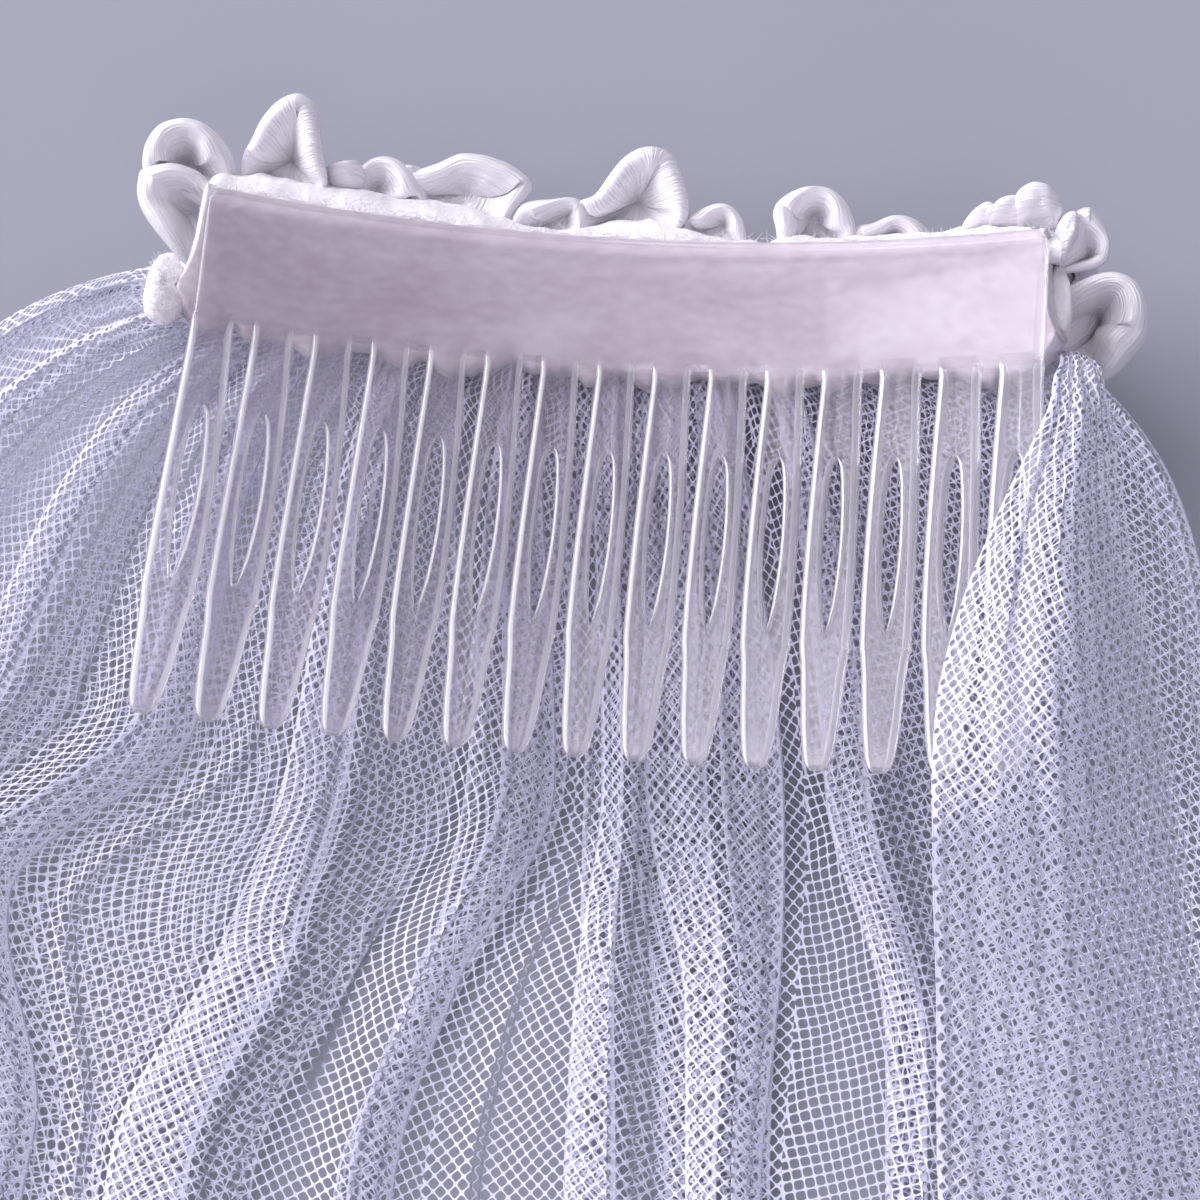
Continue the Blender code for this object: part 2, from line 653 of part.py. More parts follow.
def build_rosette(name, x, y, top, plane, material, parent):
    """One rosette: a ring of cupped ribbon petals round a bud that points away from the comb."""
    mesh_data = bmesh.new()
    petals = PETALS[name]
    upper_rings, lower_rings = [], []
    for share in PETAL_RINGS:
        upper, lower = [], []
        for step in range(PETAL_STEPS):
            angle = 2.0 * math.pi * step / PETAL_STEPS
            reach, rise, across = petal_reach(petals, angle)
            radius = CORE_RADIUS * 0.6 + (reach - CORE_RADIUS * 0.6) * share
            cup = PETAL_CUP * (across**2 - 0.5) * share
            middle = plane + rise * share**1.5 + cup
            px, py = x + radius * math.cos(angle), y + radius * math.sin(angle)
            upper.append(mesh_data.verts.new((px, py, max(middle + PETAL_WALL / 2.0, PETAL_WALL))))
            lower.append(mesh_data.verts.new((px, py, max(middle - PETAL_WALL / 2.0, 0.0))))
        upper_rings.append(upper)
        lower_rings.append(lower)
    core_top = []
    core_bottom = []
    for step in range(PETAL_STEPS):
        angle = 2.0 * math.pi * step / PETAL_STEPS
        px, py = x + CORE_RADIUS * 0.55 * math.cos(angle), y + CORE_RADIUS * 0.55 * math.sin(angle)
        core_top.append(mesh_data.verts.new((px, py, top)))
        core_bottom.append(mesh_data.verts.new((px, py, max(plane - BUD_LENGTH, 0.0))))
    for rings in ([core_top, *upper_rings], [core_bottom, *lower_rings]):
        for inner, outer in zip(rings, rings[1:]):
            for i in range(PETAL_STEPS):
                j = (i + 1) % PETAL_STEPS
                mesh_data.faces.new((inner[i], inner[j], outer[j], outer[i]))
        mesh_data.faces.new(rings[0])
    for i in range(PETAL_STEPS):
        j = (i + 1) % PETAL_STEPS
        mesh_data.faces.new((upper_rings[-1][i], upper_rings[-1][j], lower_rings[-1][j], lower_rings[-1][i]))
    return make_object(name, mesh_data, material, parent, 35.0)


# Assembly


def centre_footprint(parent):
    """Moves the parent so that the middle of the veil's footprint is the origin."""
    bpy.context.view_layer.update()
    corners = []
    for obj in parent.children:
        corners += [obj.matrix_world @ Vector(corner) for corner in obj.bound_box]
    for axis in (0, 1):
        values = [corner[axis] for corner in corners]
        parent.location[axis] = -(min(values) + max(values)) / 2.0


def main():
    clear_scene()
    veil = bpy.data.objects.new("veil", None)
    bpy.context.scene.collection.objects.link(veil)
    plastic = make_material("clear_plastic", (0.90, 0.86, 0.90), 0.08, Transmission_Weight=0.8, IOR=1.49)
    tulle = make_material("tulle_net", (0.90, 0.90, 0.95), 0.7)
    bunched = make_material("bunched_tulle", (0.92, 0.90, 0.93), 0.85)
    satin = make_material("satin_ribbon", (0.93, 0.91, 0.93), 0.32)
    build_comb(plastic, veil)
    build_heading(bunched, veil)
    build_tulle(tulle, veil)
    for name, x, y, top, plane in ROSETTES:
        build_rosette(name, x, y, top, plane, satin, veil)
    centre_footprint(veil)


main()
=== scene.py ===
# %% [markdown]
# # A bridal veil, dressed from its solids
# The veil is a fall of fine net, gathered and glued behind a clear comb, with ribbon rosettes along the
# comb's spine. It lies on a table with the hollow side of the comb up, so the rosettes are underneath.
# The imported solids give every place. Each solid is dressed here with a finer piece in the same place.

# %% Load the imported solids
import math
import bmesh
import bpy
import numpy as np
from mathutils import Euler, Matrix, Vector


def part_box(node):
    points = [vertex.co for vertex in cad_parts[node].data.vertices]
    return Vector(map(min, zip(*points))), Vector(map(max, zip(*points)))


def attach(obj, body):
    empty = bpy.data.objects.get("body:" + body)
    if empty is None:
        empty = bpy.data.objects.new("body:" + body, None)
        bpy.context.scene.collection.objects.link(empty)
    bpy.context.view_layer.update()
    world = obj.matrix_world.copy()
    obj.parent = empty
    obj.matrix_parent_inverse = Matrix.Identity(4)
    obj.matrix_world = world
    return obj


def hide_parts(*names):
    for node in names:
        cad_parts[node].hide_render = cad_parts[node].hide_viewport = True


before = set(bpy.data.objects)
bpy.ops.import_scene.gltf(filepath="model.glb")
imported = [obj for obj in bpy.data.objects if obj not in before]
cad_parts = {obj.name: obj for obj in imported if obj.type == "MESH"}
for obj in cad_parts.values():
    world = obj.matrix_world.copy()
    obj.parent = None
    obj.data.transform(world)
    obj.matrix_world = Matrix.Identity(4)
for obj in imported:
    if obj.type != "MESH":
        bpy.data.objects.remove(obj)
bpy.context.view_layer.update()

MM = 0.001
rng = np.random.default_rng(11)
# Rays cross many holes of the net, and their later bounces add little.
light_paths = bpy.context.scene.cycles
light_paths.transparent_max_bounces = 32
light_paths.max_bounces, light_paths.diffuse_bounces, light_paths.glossy_bounces = 7, 2, 2
print("solids:", sorted(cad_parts))


# %% [markdown]
# ## Small tools
# A learner can read these once and forget them. One joins points by a smooth curve that never overshoots.
# One turns a grid of points into a mesh with a cloth map, which holds each point's place in the flat cut,
# in metres. The net's pattern is drawn in that map, so the holes keep their size when the cloth turns.
# One gives smooth random values, for lumps and creases that look handmade and never repeat.

# %% Curves and grids
def smooth_through(xs, ys, at):
    """A smooth curve through the points (xs, ys), without overshoot."""
    xs, ys, at = np.asarray(xs, float), np.asarray(ys, float), np.asarray(at, float)
    step, rise = np.diff(xs), np.diff(ys)
    slope = rise / step
    lean = np.zeros(len(xs))
    both = slope[1:] * slope[:-1] > 0
    lean[1:-1][both] = 2 * slope[1:][both] * slope[:-1][both] / (slope[1:] + slope[:-1])[both]
    lean[0], lean[-1] = slope[0], slope[-1]
    at = np.clip(at, xs[0], xs[-1])
    i = np.clip(np.searchsorted(xs, at, side="right") - 1, 0, len(step) - 1)
    t = (at - xs[i]) / step[i]
    start = ys[i] * (1 + 2 * t) * (1 - t) ** 2 + lean[i] * step[i] * t * (1 - t) ** 2
    return start + ys[i + 1] * t**2 * (3 - 2 * t) - lean[i + 1] * step[i] * t**2 * (1 - t)


def grid_faces(rows, columns, closed=False, first=0):
    """Faces of a grid of rows by columns points; closed joins the last column to the first."""
    i, j = np.meshgrid(np.arange(rows - 1), np.arange(columns if closed else columns - 1), indexing="ij")
    i, j = i.ravel(), j.ravel()
    k = (j + 1) % columns
    return np.stack((i * columns + j, i * columns + k, (i + 1) * columns + k, (i + 1) * columns + j), 1) + first


def add_piece(name, points, faces, material, cloth_map=None, crowding=None):
    """An object from points in millimetres, moved to where the solids lie."""
    mesh = bpy.data.meshes.new(name)
    mesh.from_pydata((np.asarray(points) + shift) * MM, [], [list(map(int, face)) for face in faces])
    if cloth_map is not None:
        layer = mesh.uv_layers.new(name="cut")
        corner = np.empty(len(mesh.loops), np.int32)
        mesh.loops.foreach_get("vertex_index", corner)
        layer.data.foreach_set("uv", (np.asarray(cloth_map) * MM)[corner].astype(np.float32).ravel())
    if crowding is not None:
        mesh.attributes.new("crowding", "FLOAT", "POINT").data.foreach_set("value", np.asarray(crowding, np.float32))
    mesh.materials.append(material)
    mesh.shade_smooth()
    piece = bpy.data.objects.new(name, mesh)
    bpy.context.scene.collection.objects.link(piece)
    return piece


def add_tube(name, rings, material):
    """A closed tube through rings of points, with a flat cap on each end."""
    count, around = len(rings), len(rings[0])
    faces = grid_faces(count, around, closed=True).tolist()
    faces += [list(range(around))[::-1], list(range(around * (count - 1), around * count))]
    return add_piece(name, np.concatenate(rings), faces, material)


def distance_along(points):
    """How far each point of a row lies from the first one, along the row."""
    return np.concatenate(((0,), np.cumsum(np.linalg.norm(np.diff(points, axis=0), axis=1))))


def ruffle(points, size, seed):
    """Smooth random values from -1 to 1 that change over about size millimetres along each axis."""
    lattice = np.random.default_rng(seed).uniform(-1, 1, (32, 32, 32))
    spot = np.asarray(points, float) / size
    cell = np.floor(spot).astype(int)
    part = spot - cell
    part = part * part * (3 - 2 * part)
    value = 0.0
    for corner in np.ndindex(2, 2, 2):
        weight = np.prod(np.where(corner, part, 1 - part), axis=-1)
        i, j, k = np.moveaxis((cell + corner) % 32, -1, 0)
        value = value + weight * lattice[i, j, k]
    return value


def cloth_area(piece):
    """Area of one side of a piece, in square metres."""
    return sum(face.area for face in piece.data.polygons)


print("halfway up a step from 0 to 1, the smooth curve is at", smooth_through((0, 1, 2), (0, 1, 1), 0.5))


# %% [markdown]
# ## The comb's place
# The comb is moulded in one piece. Its spine follows an arch and its teeth curl up at the tips, so a flat
# drawing of it is bent. Then the whole comb is tilted a little, as it lies on its rosettes. Everything
# else is placed from it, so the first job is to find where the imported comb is.

# %% Comb sizes and pose
COMB_WIDTH, SPINE_HEIGHT, SPINE_THICK = 80.0, 12.6, 2.2
RIM_PROUD = 0.3
TOOTH_COUNT, TOOTH_LENGTH, TOOTH_THICK, TIP_THICK = 15, 39.6, 1.9, 1.3
TIP_CURL, ARCH_RADIUS = 6.7, 100.0
SPINE_FACE, SPINE_BACK = 1.5, -1.1
TOOTH_ALONG = (0.0, 0.22, 0.29, 0.43, 0.56, 0.64, 0.69, 0.75, 0.90, 0.975, 1.0)
TOOTH_HALF = (1.80, 2.12, 2.20, 2.32, 2.36, 2.32, 2.28, 2.02, 1.62, 1.18, 0.55)
COMB_PLACE = np.array((0.0, 0.0, 14.5))
COMB_TURN = np.array(Euler([math.radians(a) for a in (7.9, -3.9, -5.5)]).to_matrix())


def bend_to_arch(x, y, z):
    """Takes the flat drawing of the comb to its arch, and curls the teeth up at their tips."""
    x, y, z = np.broadcast_arrays(np.asarray(x, float), np.asarray(y, float), np.asarray(z, float))
    lean = np.arcsin(x / ARCH_RADIUS)
    curl = TIP_CURL * (np.maximum(0.0, -y) / TOOTH_LENGTH) ** 2
    rise = ARCH_RADIUS * (1 - np.cos(lean)) + z * np.cos(lean) + curl
    return np.stack((x - z * np.sin(lean), y, rise), -1)


def lay_comb(points):
    """Tilts the comb as it lies, and puts its root line in place."""
    return COMB_PLACE + np.asarray(points) @ COMB_TURN.T


def tooth_centres():
    return np.linspace(-COMB_WIDTH / 2 + TOOTH_HALF[0], COMB_WIDTH / 2 - TOOTH_HALF[0], TOOTH_COUNT)


half_thick = TOOTH_THICK / 2 + (TIP_THICK - TOOTH_THICK) / 2 * np.array(TOOTH_ALONG)
corners = []
for centre in tooth_centres():
    for sign in (-1, 1):
        for face in (-1, 1):
            x = centre + sign * np.array(TOOTH_HALF)
            corners.append(bend_to_arch(x, -TOOTH_LENGTH * np.array(TOOTH_ALONG), face * half_thick))
ends = [-COMB_WIDTH / 2, COMB_WIDTH / 2]
corners.append(bend_to_arch(ends * 2, SPINE_HEIGHT, [SPINE_FACE] * 2 + [SPINE_BACK] * 2))
shift = np.array(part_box("comb")[0]) / MM - lay_comb(np.concatenate(corners)).min(0)
print("comb stands at", shift.round(2), "mm")


# %% [markdown]
# ## Finishes
# A few finishes make the whole veil. Net is a thread pattern with holes: the same pattern drives the alpha
# socket of one plain shader. Clear plastic is a glass-like shader with faint flow marks from the mould, and
# the rounded edges of its teeth get a whiter, less clear finish, which is a painted highlight. Satin ribbon
# has fine ribs along its length. Bunched net is a mottled white, and where glue has soaked it, it is darker
# and slightly pink.

# %% A short way to join math nodes
def start_material(name):
    material = bpy.data.materials.new(name)
    material.use_nodes = True
    tree = material.node_tree
    return material, tree, tree.nodes["Principled BSDF"]


def node(tree, kind, inputs=(), **settings):
    """A shader node whose inputs are values or the outputs of other nodes."""
    made = tree.nodes.new(kind)
    for key, value in settings.items():
        setattr(made, key, value)
    for key, value in dict(inputs).items():
        if isinstance(value, bpy.types.NodeSocket):
            tree.links.new(value, made.inputs[key])
        else:
            made.inputs[key].default_value = value
    return made


def calc(tree, operation, *values, clamp=False):
    """One step of arithmetic between sockets and numbers."""
    made = node(tree, "ShaderNodeMath", dict(enumerate(values)), operation=operation, use_clamp=clamp)
    return made.outputs[0]


def noise(tree, where, scale, detail):
    return node(tree, "ShaderNodeTexNoise", {"Vector": where, "Scale": scale, "Detail": detail}).outputs["Fac"]


def stretched(tree, where, factors):
    """Places made longer or shorter along each axis, so that a noise gets a grain."""
    return node(tree, "ShaderNodeVectorMath", {0: where, 1: factors}, operation="MULTIPLY").outputs[0]


def relief(tree, height, strength, depth):
    """Small hills and hollows that only the light sees."""
    return node(tree, "ShaderNodeBump", {"Height": height, "Strength": strength, "Distance": depth}).outputs[0]


def between(tree, factor, dark, pale):
    """A colour that goes from dark to pale as the factor goes from 0 to 1."""
    mix = node(tree, "ShaderNodeMix", {"Factor": factor}, data_type="RGBA")
    mix.inputs[6].default_value, mix.inputs[7].default_value = (*dark, 1), (*pale, 1)
    return mix.outputs[2]


def object_place(tree):
    return node(tree, "ShaderNodeTexCoord").outputs["Object"]


def set_shader(tree, shader, **inputs):
    for key, value in inputs.items():
        socket = shader.inputs[key.replace("_", " ")]
        if isinstance(value, bpy.types.NodeSocket):
            tree.links.new(value, socket)
        else:
            socket.default_value = value


# %% Net: crossed threads with round-cornered holes
CELL = 0.97
THREAD_EDGE, CROWD_CLOSES, CORNER_POWER, EDGE_SHARP = 0.85, 0.75, 3.6, 9.0
WANDER_SCALE, WANDER = 170.0, 0.9
NET_COLOUR = (0.80, 0.78, 0.95, 1.0)


def make_net(name):
    """Threads along two axes of the cut; where they crowd together, the holes close."""
    material, tree, shader = start_material(name)
    cut = node(tree, "ShaderNodeUVMap", uv_map="cut").outputs[0]
    crowd = node(tree, "ShaderNodeAttribute", attribute_name="crowding").outputs["Fac"]
    wander = node(tree, "ShaderNodeTexNoise", {"Vector": cut, "Scale": WANDER_SCALE, "Detail": 0.0}).outputs["Color"]
    spread = node(tree, "ShaderNodeVectorMath", {0: wander, 1: (0.5, 0.5, 0.5)}, operation="SUBTRACT")
    moved = node(tree, "ShaderNodeVectorMath", {0: spread.outputs[0], "Scale": WANDER}, operation="SCALE")
    cells = node(tree, "ShaderNodeVectorMath", {0: cut, "Scale": 1000.0 / CELL}, operation="SCALE")
    place = node(tree, "ShaderNodeVectorMath", {0: cells.outputs[0], 1: moved.outputs[0]}, operation="ADD")
    axes = node(tree, "ShaderNodeSeparateXYZ", {0: place.outputs[0]})
    reach = []
    for axis in ("X", "Y"):
        inside = calc(tree, "PINGPONG", axes.outputs[axis], 0.5)
        reach.append(calc(tree, "POWER", calc(tree, "MULTIPLY_ADD", inside, -2.0, 1.0), CORNER_POWER))
    rim = calc(tree, "POWER", calc(tree, "ADD", *reach), 1 / CORNER_POWER)
    edge = calc(tree, "MULTIPLY_ADD", crowd, -CROWD_CLOSES, THREAD_EDGE)
    thread = calc(tree, "MULTIPLY_ADD", calc(tree, "SUBTRACT", rim, edge), EDGE_SHARP, 0.45, clamp=True)
    set_shader(tree, shader, Base_Color=NET_COLOUR, Roughness=0.6, Alpha=calc(tree, "MULTIPLY", thread, 0.94))
    set_shader(tree, shader, Sheen_Weight=0.25, Sheen_Roughness=0.4, Specular_IOR_Level=0.4)
    return material


net = make_net("net_of_the_fall")
print("net cells are", CELL, "mm")


# %% Clear plastic and the painted highlight on its edges
def frosted(tree, start, stop):
    """Where the comb's frost mark lies between start and stop: 0 on the spine, a half on teeth, 1 at the tips."""
    mark = node(tree, "ShaderNodeAttribute", attribute_name="frost").outputs["Fac"]
    return calc(tree, "MULTIPLY_ADD", mark, 1 / (stop - start), -start / (stop - start), clamp=True)


def make_plastic():
    material, tree, shader = start_material("clear_moulded_plastic")
    where = object_place(tree)
    flow, specks = noise(tree, where, 170.0, 3.0), noise(tree, where, 2400.0, 2.0)
    tip = frosted(tree, 0.5, 1.0)
    dull = calc(tree, "MULTIPLY_ADD", tip, 0.3, calc(tree, "MULTIPLY_ADD", flow, 0.1, 0.06))
    clearer = calc(tree, "MULTIPLY_ADD", frosted(tree, 0.0, 0.5), -0.12, 0.5)
    alpha = calc(tree, "MULTIPLY_ADD", tip, 0.36, clearer)
    bump = relief(tree, calc(tree, "MULTIPLY_ADD", specks, 0.12, flow), 0.05, 0.0003)
    tint = between(tree, flow, (0.76, 0.70, 0.79), (0.88, 0.83, 0.89))
    set_shader(tree, shader, Base_Color=tint, Roughness=dull, Normal=bump, Alpha=alpha)
    set_shader(tree, shader, Transmission_Weight=0.86, IOR=1.46, Coat_Weight=1.0, Coat_Roughness=0.05)
    return material


def make_painted_highlight_edge():
    """The rounded edges of the clear teeth get a whiter tint and are less clear than the faces: a painted highlight.
    """
    material, tree, shader = start_material("plastic_edge_painted_highlight")
    flow = noise(tree, object_place(tree), 420.0, 2.0)
    # The whiter tint is a painted highlight: the frost mark keeps it to the teeth, and the noise makes it patchy.
    painted_highlight_amount = calc(tree, "MULTIPLY", frosted(tree, 0.0, 0.5), calc(tree, "MULTIPLY_ADD", flow, 0.6, 0.4))
    tint = between(tree, painted_highlight_amount, (0.80, 0.73, 0.82), (1.0, 0.985, 1.0))
    set_shader(tree, shader, Base_Color=tint, Roughness=0.24, Transmission_Weight=0.68, Alpha=0.92)
    set_shader(tree, shader, IOR=1.55, Coat_Weight=1.0, Coat_Roughness=0.2)
    return material


plastic, edge_painted_highlight = make_plastic(), make_painted_highlight_edge()
print("plastics:", plastic.name, edge_painted_highlight.name)


# %% Satin and bunched net
def make_satin():
    material, tree, shader = start_material("satin_ribbon")
    cut = node(tree, "ShaderNodeUVMap", uv_map="cut").outputs[0]
    threads = noise(tree, stretched(tree, cut, (220.0, 3500.0, 1.0)), 1.0, 2.0)
    cloud = noise(tree, cut, 300.0, 1.0)
    bump = relief(tree, threads, 0.8, 0.00026)
    along = node(tree, "ShaderNodeTangent", direction_type="UV_MAP", uv_map="cut").outputs[0]
    tint = between(tree, threads, (0.80, 0.75, 0.83), (1.0, 0.985, 1.0))
    shade = calc(tree, "MULTIPLY_ADD", cloud, 0.2, 0.31)
    set_shader(tree, shader, Base_Color=tint, Roughness=shade, Normal=bump, Tangent=along)
    set_shader(tree, shader, Sheen_Weight=0.35, Sheen_Roughness=0.3, Anisotropic=0.5)
    set_shader(tree, shader, Specular_IOR_Level=0.8, Metallic=0.18)
    return material


def make_bunched(name, dark, pale, grain_way, strength):
    material, tree, shader = start_material(name)
    where = stretched(tree, object_place(tree), grain_way)
    cloud, fibre = noise(tree, where, 230.0, 6.0), noise(tree, where, 1700.0, 4.0)
    grain = calc(tree, "MULTIPLY_ADD", calc(tree, "SUBTRACT", fibre, 0.5), 1.6, 0.5)
    tone = calc(tree, "MULTIPLY_ADD", calc(tree, "SUBTRACT", cloud, 0.5), 2.0, grain, clamp=True)
    bump = relief(tree, calc(tree, "MULTIPLY_ADD", cloud, 1.5, fibre), strength, 0.0005)
    set_shader(tree, shader, Base_Color=between(tree, tone, dark, pale), Roughness=0.75, Normal=bump)
    set_shader(tree, shader, Sheen_Weight=0.4, Sheen_Roughness=0.5)
    return material


satin = make_satin()
bunched = make_bunched("bunched_net", (0.86, 0.80, 0.86), (1.0, 0.98, 1.0), (1.0, 1.0, 1.0), 0.35)
glued = make_bunched("net_soaked_in_glue", (0.63, 0.54, 0.61), (0.89, 0.83, 0.87), (0.3, 0.9, 0.9), 0.12)
print("finishes:", [m.name for m in (net, plastic, edge_painted_highlight, satin, bunched, glued)])


# %% [markdown]
# ## The comb
# The spine is a curved bar with a low rim along its top. Each tooth has an almond slot, so it is drawn as
# two rails that part and join again. A moulded comb has no sharp edge, and round edges are what catch the
# light on clear plastic, so each row of points follows the rounded section of the tooth. The plain drawing
# is then bent to the arch and laid in its place.

# %% Draw the comb
SLOT_HALF, SLOT_TOP, SLOT_END, SLOT_NARROW = 0.86, 0.225, 0.69, 0.14
EDGE_ROUND, SLOT_ROUND, TIP_ROUND, TOP_ROUND, CORNER_ROUND = 0.6, 0.33, 0.6, 0.7, 1.2
EDGE_TURNS, SLOT_TURNS = np.radians((0, 22.5, 45, 67.5, 90)), np.radians((0, 30, 60, 90))
COLUMNS = 2 * (len(EDGE_TURNS) + len(SLOT_TURNS))
SLOT_COLUMN = COLUMNS // 2 - 1
EDGE_BEGINS, EDGE_AT_ROOT, EDGE_SHARE, SLOT_SHARE = 0.03, 0.3, 0.45, 0.35
SLOT_OPENS, SLOT_AT_ENDS, LEAST_THICK = 0.3, 0.03, 0.04
NOTCH_AT, NOTCH_LONG, NOTCH_PROUD = 0.705, 0.004, 0.17
close_rows = (0.006, 0.015, 0.225, 0.228, 0.232, 0.24, 0.25, 0.275, 0.65, 0.668, 0.678, 0.684)
close_rows += (0.692, 0.698, 0.702, 0.705, 0.708, 0.712, 0.72, 0.955, 0.985, 0.99, 0.994, 0.998)
tooth_rows = np.unique(np.round(np.concatenate((np.linspace(0, 1, 31), close_rows)), 4))


def slot_half(along):
    """Half the width of the almond slot at a share of the tooth's length."""
    share = np.clip((along - SLOT_TOP) / (SLOT_END - SLOT_TOP), 0, 1)
    return SLOT_HALF * np.sin(np.pi * share**0.85) ** np.where(share < 0.5, 0.5, 0.85)


def tooth_section(half, slot, edge_round, slot_round):
    """Places across a tooth, and how far each is below the face: a rounded edge, a rail, a rounded slot edge."""
    edge = edge_round * (1 - np.cos(EDGE_TURNS)) - half
    slot_side = slot_round * (np.cos(SLOT_TURNS) - 1) - slot
    across = np.concatenate((edge, slot_side[::-1]))
    edge_drop, slot_drop = edge_round * (1 - np.sin(EDGE_TURNS)), slot_round * (1 - np.sin(SLOT_TURNS))
    drop = np.concatenate((edge_drop, slot_drop[::-1]))
    return np.concatenate((across, -across[::-1])), np.concatenate((drop, drop[::-1]))


def comb_row(data, columns, y, front, back):
    """One row of points across the comb, on its upper and on its lower side."""
    rows = [lay_comb(bend_to_arch(columns, y, z)) + shift for z in (front, back)]
    return [[data.verts.new(point * MM) for point in row] for row in rows]


def skin(data, upper, lower, columns, painted_highlight=()):
    """The upper and the lower face between two rows; the last argument names the columns on rounded edges, which get
    the whiter finish that paints a highlight.
    """
    for i in columns:
        pair = [
            data.faces.new((upper[0][i], lower[0][i], lower[0][i + 1], upper[0][i + 1])),
            data.faces.new((upper[1][i + 1], lower[1][i + 1], lower[1][i], upper[1][i])),
        ]
        for face in pair:
            face.material_index = int(i in painted_highlight)


def side_wall(data, rows, column, painted_highlight=1):
    """The narrow wall that closes one side of a tooth or of its slot; unless the last argument is 0, it gets the
    whiter finish that paints a highlight.
    """
    for upper, lower in zip(rows, rows[1:]):
        face = data.faces.new((upper[0][column], upper[1][column], lower[1][column], lower[0][column]))
        face.material_index = painted_highlight


def end_wall(data, row, columns):
    """The narrow wall across the end of a tooth, a slot or the spine."""
    for i in columns:
        data.faces.new((row[0][i], row[0][i + 1], row[1][i + 1], row[1][i]))


print("rows on each tooth:", len(tooth_rows))


# %% One tooth, and the whole comb
# Columns on the rounded outer edges and on the slot's edges: their faces get the whiter finish that paints a
# highlight.
edge_columns = set(range(len(EDGE_TURNS) - 1)) | set(range(COLUMNS - len(EDGE_TURNS), COLUMNS - 1))
slot_columns = set(range(len(EDGE_TURNS), SLOT_COLUMN))
slot_columns |= set(range(SLOT_COLUMN + 1, COLUMNS - len(EDGE_TURNS) - 1))


def tooth_row(data, centre, along):
    """A row across one tooth: its width, slot, rounded edges, notch and thickness at that place."""
    half = float(smooth_through(TOOTH_ALONG, TOOTH_HALF, along))
    slot = max(float(slot_half(along)), min(SLOT_NARROW, 0.3 * half))
    edge = min(EDGE_ROUND * min(1.0, EDGE_AT_ROOT + along / EDGE_BEGINS), EDGE_SHARE * (half - slot))
    opened = float(np.clip((slot - SLOT_NARROW) / SLOT_OPENS, SLOT_AT_ENDS, 1))
    across, drop = tooth_section(half, slot, edge, min(SLOT_ROUND, SLOT_SHARE * (half - slot)) * opened)
    across[-len(EDGE_TURNS):] += NOTCH_PROUD * math.exp(-(((along - NOTCH_AT) / NOTCH_LONG) ** 2))
    thick = (TOOTH_THICK + (TIP_THICK - TOOTH_THICK) * along) / 2
    to_tip = min(TOOTH_LENGTH * (1 - along), TIP_ROUND)
    tip = TIP_ROUND - math.sqrt(TIP_ROUND**2 - (TIP_ROUND - to_tip) ** 2)
    z = np.maximum(thick - drop * min(1.0, along / EDGE_BEGINS) - tip, LEAST_THICK)
    return comb_row(data, centre + across, -along * TOOTH_LENGTH, z, -z)


def draw_tooth(data, centre, root, first):
    """A tooth from the spine's last row down, with the slot left open between its rails."""
    rows = [[side[first:first + COLUMNS] for side in root]]
    rows += [tooth_row(data, centre, along) for along in tooth_rows[1:]]
    opening = np.flatnonzero(slot_half(tooth_rows) > SLOT_NARROW)
    first_open, last_open = opening[0], opening[-1]
    for i in range(len(rows) - 1):
        through = first_open <= i < last_open
        columns = [k for k in range(COLUMNS - 1) if not (through and k == SLOT_COLUMN)]
        # Faces on the rounded edges, and the side walls below, get the whiter finish that paints a highlight.
        skin(data, rows[i], rows[i + 1], columns, edge_columns | slot_columns if through else edge_columns)
    for column in (0, COLUMNS - 1):
        side_wall(data, rows, column)
    for column in (SLOT_COLUMN, SLOT_COLUMN + 1):
        side_wall(data, rows[first_open:last_open + 1], column)
    for row in (rows[first_open], rows[last_open]):
        end_wall(data, row, (SLOT_COLUMN,))
    end_wall(data, rows[-1], range(COLUMNS - 1))


ROOT_EDGE, ROOT_SLOT, CORNER_MOST = 0.3, 0.02, 0.9
FROST_FROM, FROST_OVER, SHARP_ANGLE = 0.93, 0.06, 42
TOP_TURNS = np.radians((90, 70, 50, 30, 12, 0))
RIM_LEVELS = (
    # height on the spine, how much of the rim's thickness is there
    (11.4, 1.0), (11.0, 0.85), (10.6, 0.5), (10.2, 0.15), (9.8, 0.0), (6.5, 0.0), (3.0, 0.0), (0.6, 0.0), (0.0, 0.0),
)


def spine_rows(data):
    """The rows of the spine, from its top edge to the roots of the teeth."""
    half = SPINE_THICK / 2
    section, _ = tooth_section(TOOTH_HALF[0], SLOT_NARROW, ROOT_EDGE, ROOT_SLOT)
    columns = np.concatenate([centre + section for centre in tooth_centres()])
    drop = np.zeros(len(columns))
    count = len(EDGE_TURNS)
    ends = (EDGE_ROUND * (1 - np.cos(EDGE_TURNS)), EDGE_ROUND * (1 - np.sin(EDGE_TURNS)))
    levels = [(SPINE_HEIGHT - TOP_ROUND * (1 - math.sin(a)), TOP_ROUND * (1 - math.cos(a)), 1.0) for a in TOP_TURNS]
    levels += [(y, 0.0, rim) for y, rim in RIM_LEVELS]
    rows = []
    for y, top_drop, rim in levels:
        above = max(0.0, y - SPINE_HEIGHT + CORNER_ROUND)
        corner = min(CORNER_ROUND - math.sqrt(CORNER_ROUND**2 - above**2), CORNER_MOST)
        x = columns.copy()
        x[:count] = corner + ends[0] - COMB_WIDTH / 2
        x[-count:] = -x[:count][::-1]
        drop[:count], drop[-count:] = ends[1], ends[1][::-1]
        front = half + RIM_PROUD * rim - np.maximum(drop, top_drop)
        rows.append(comb_row(data, x, y, front, -half + np.maximum(drop, top_drop)))
    return rows


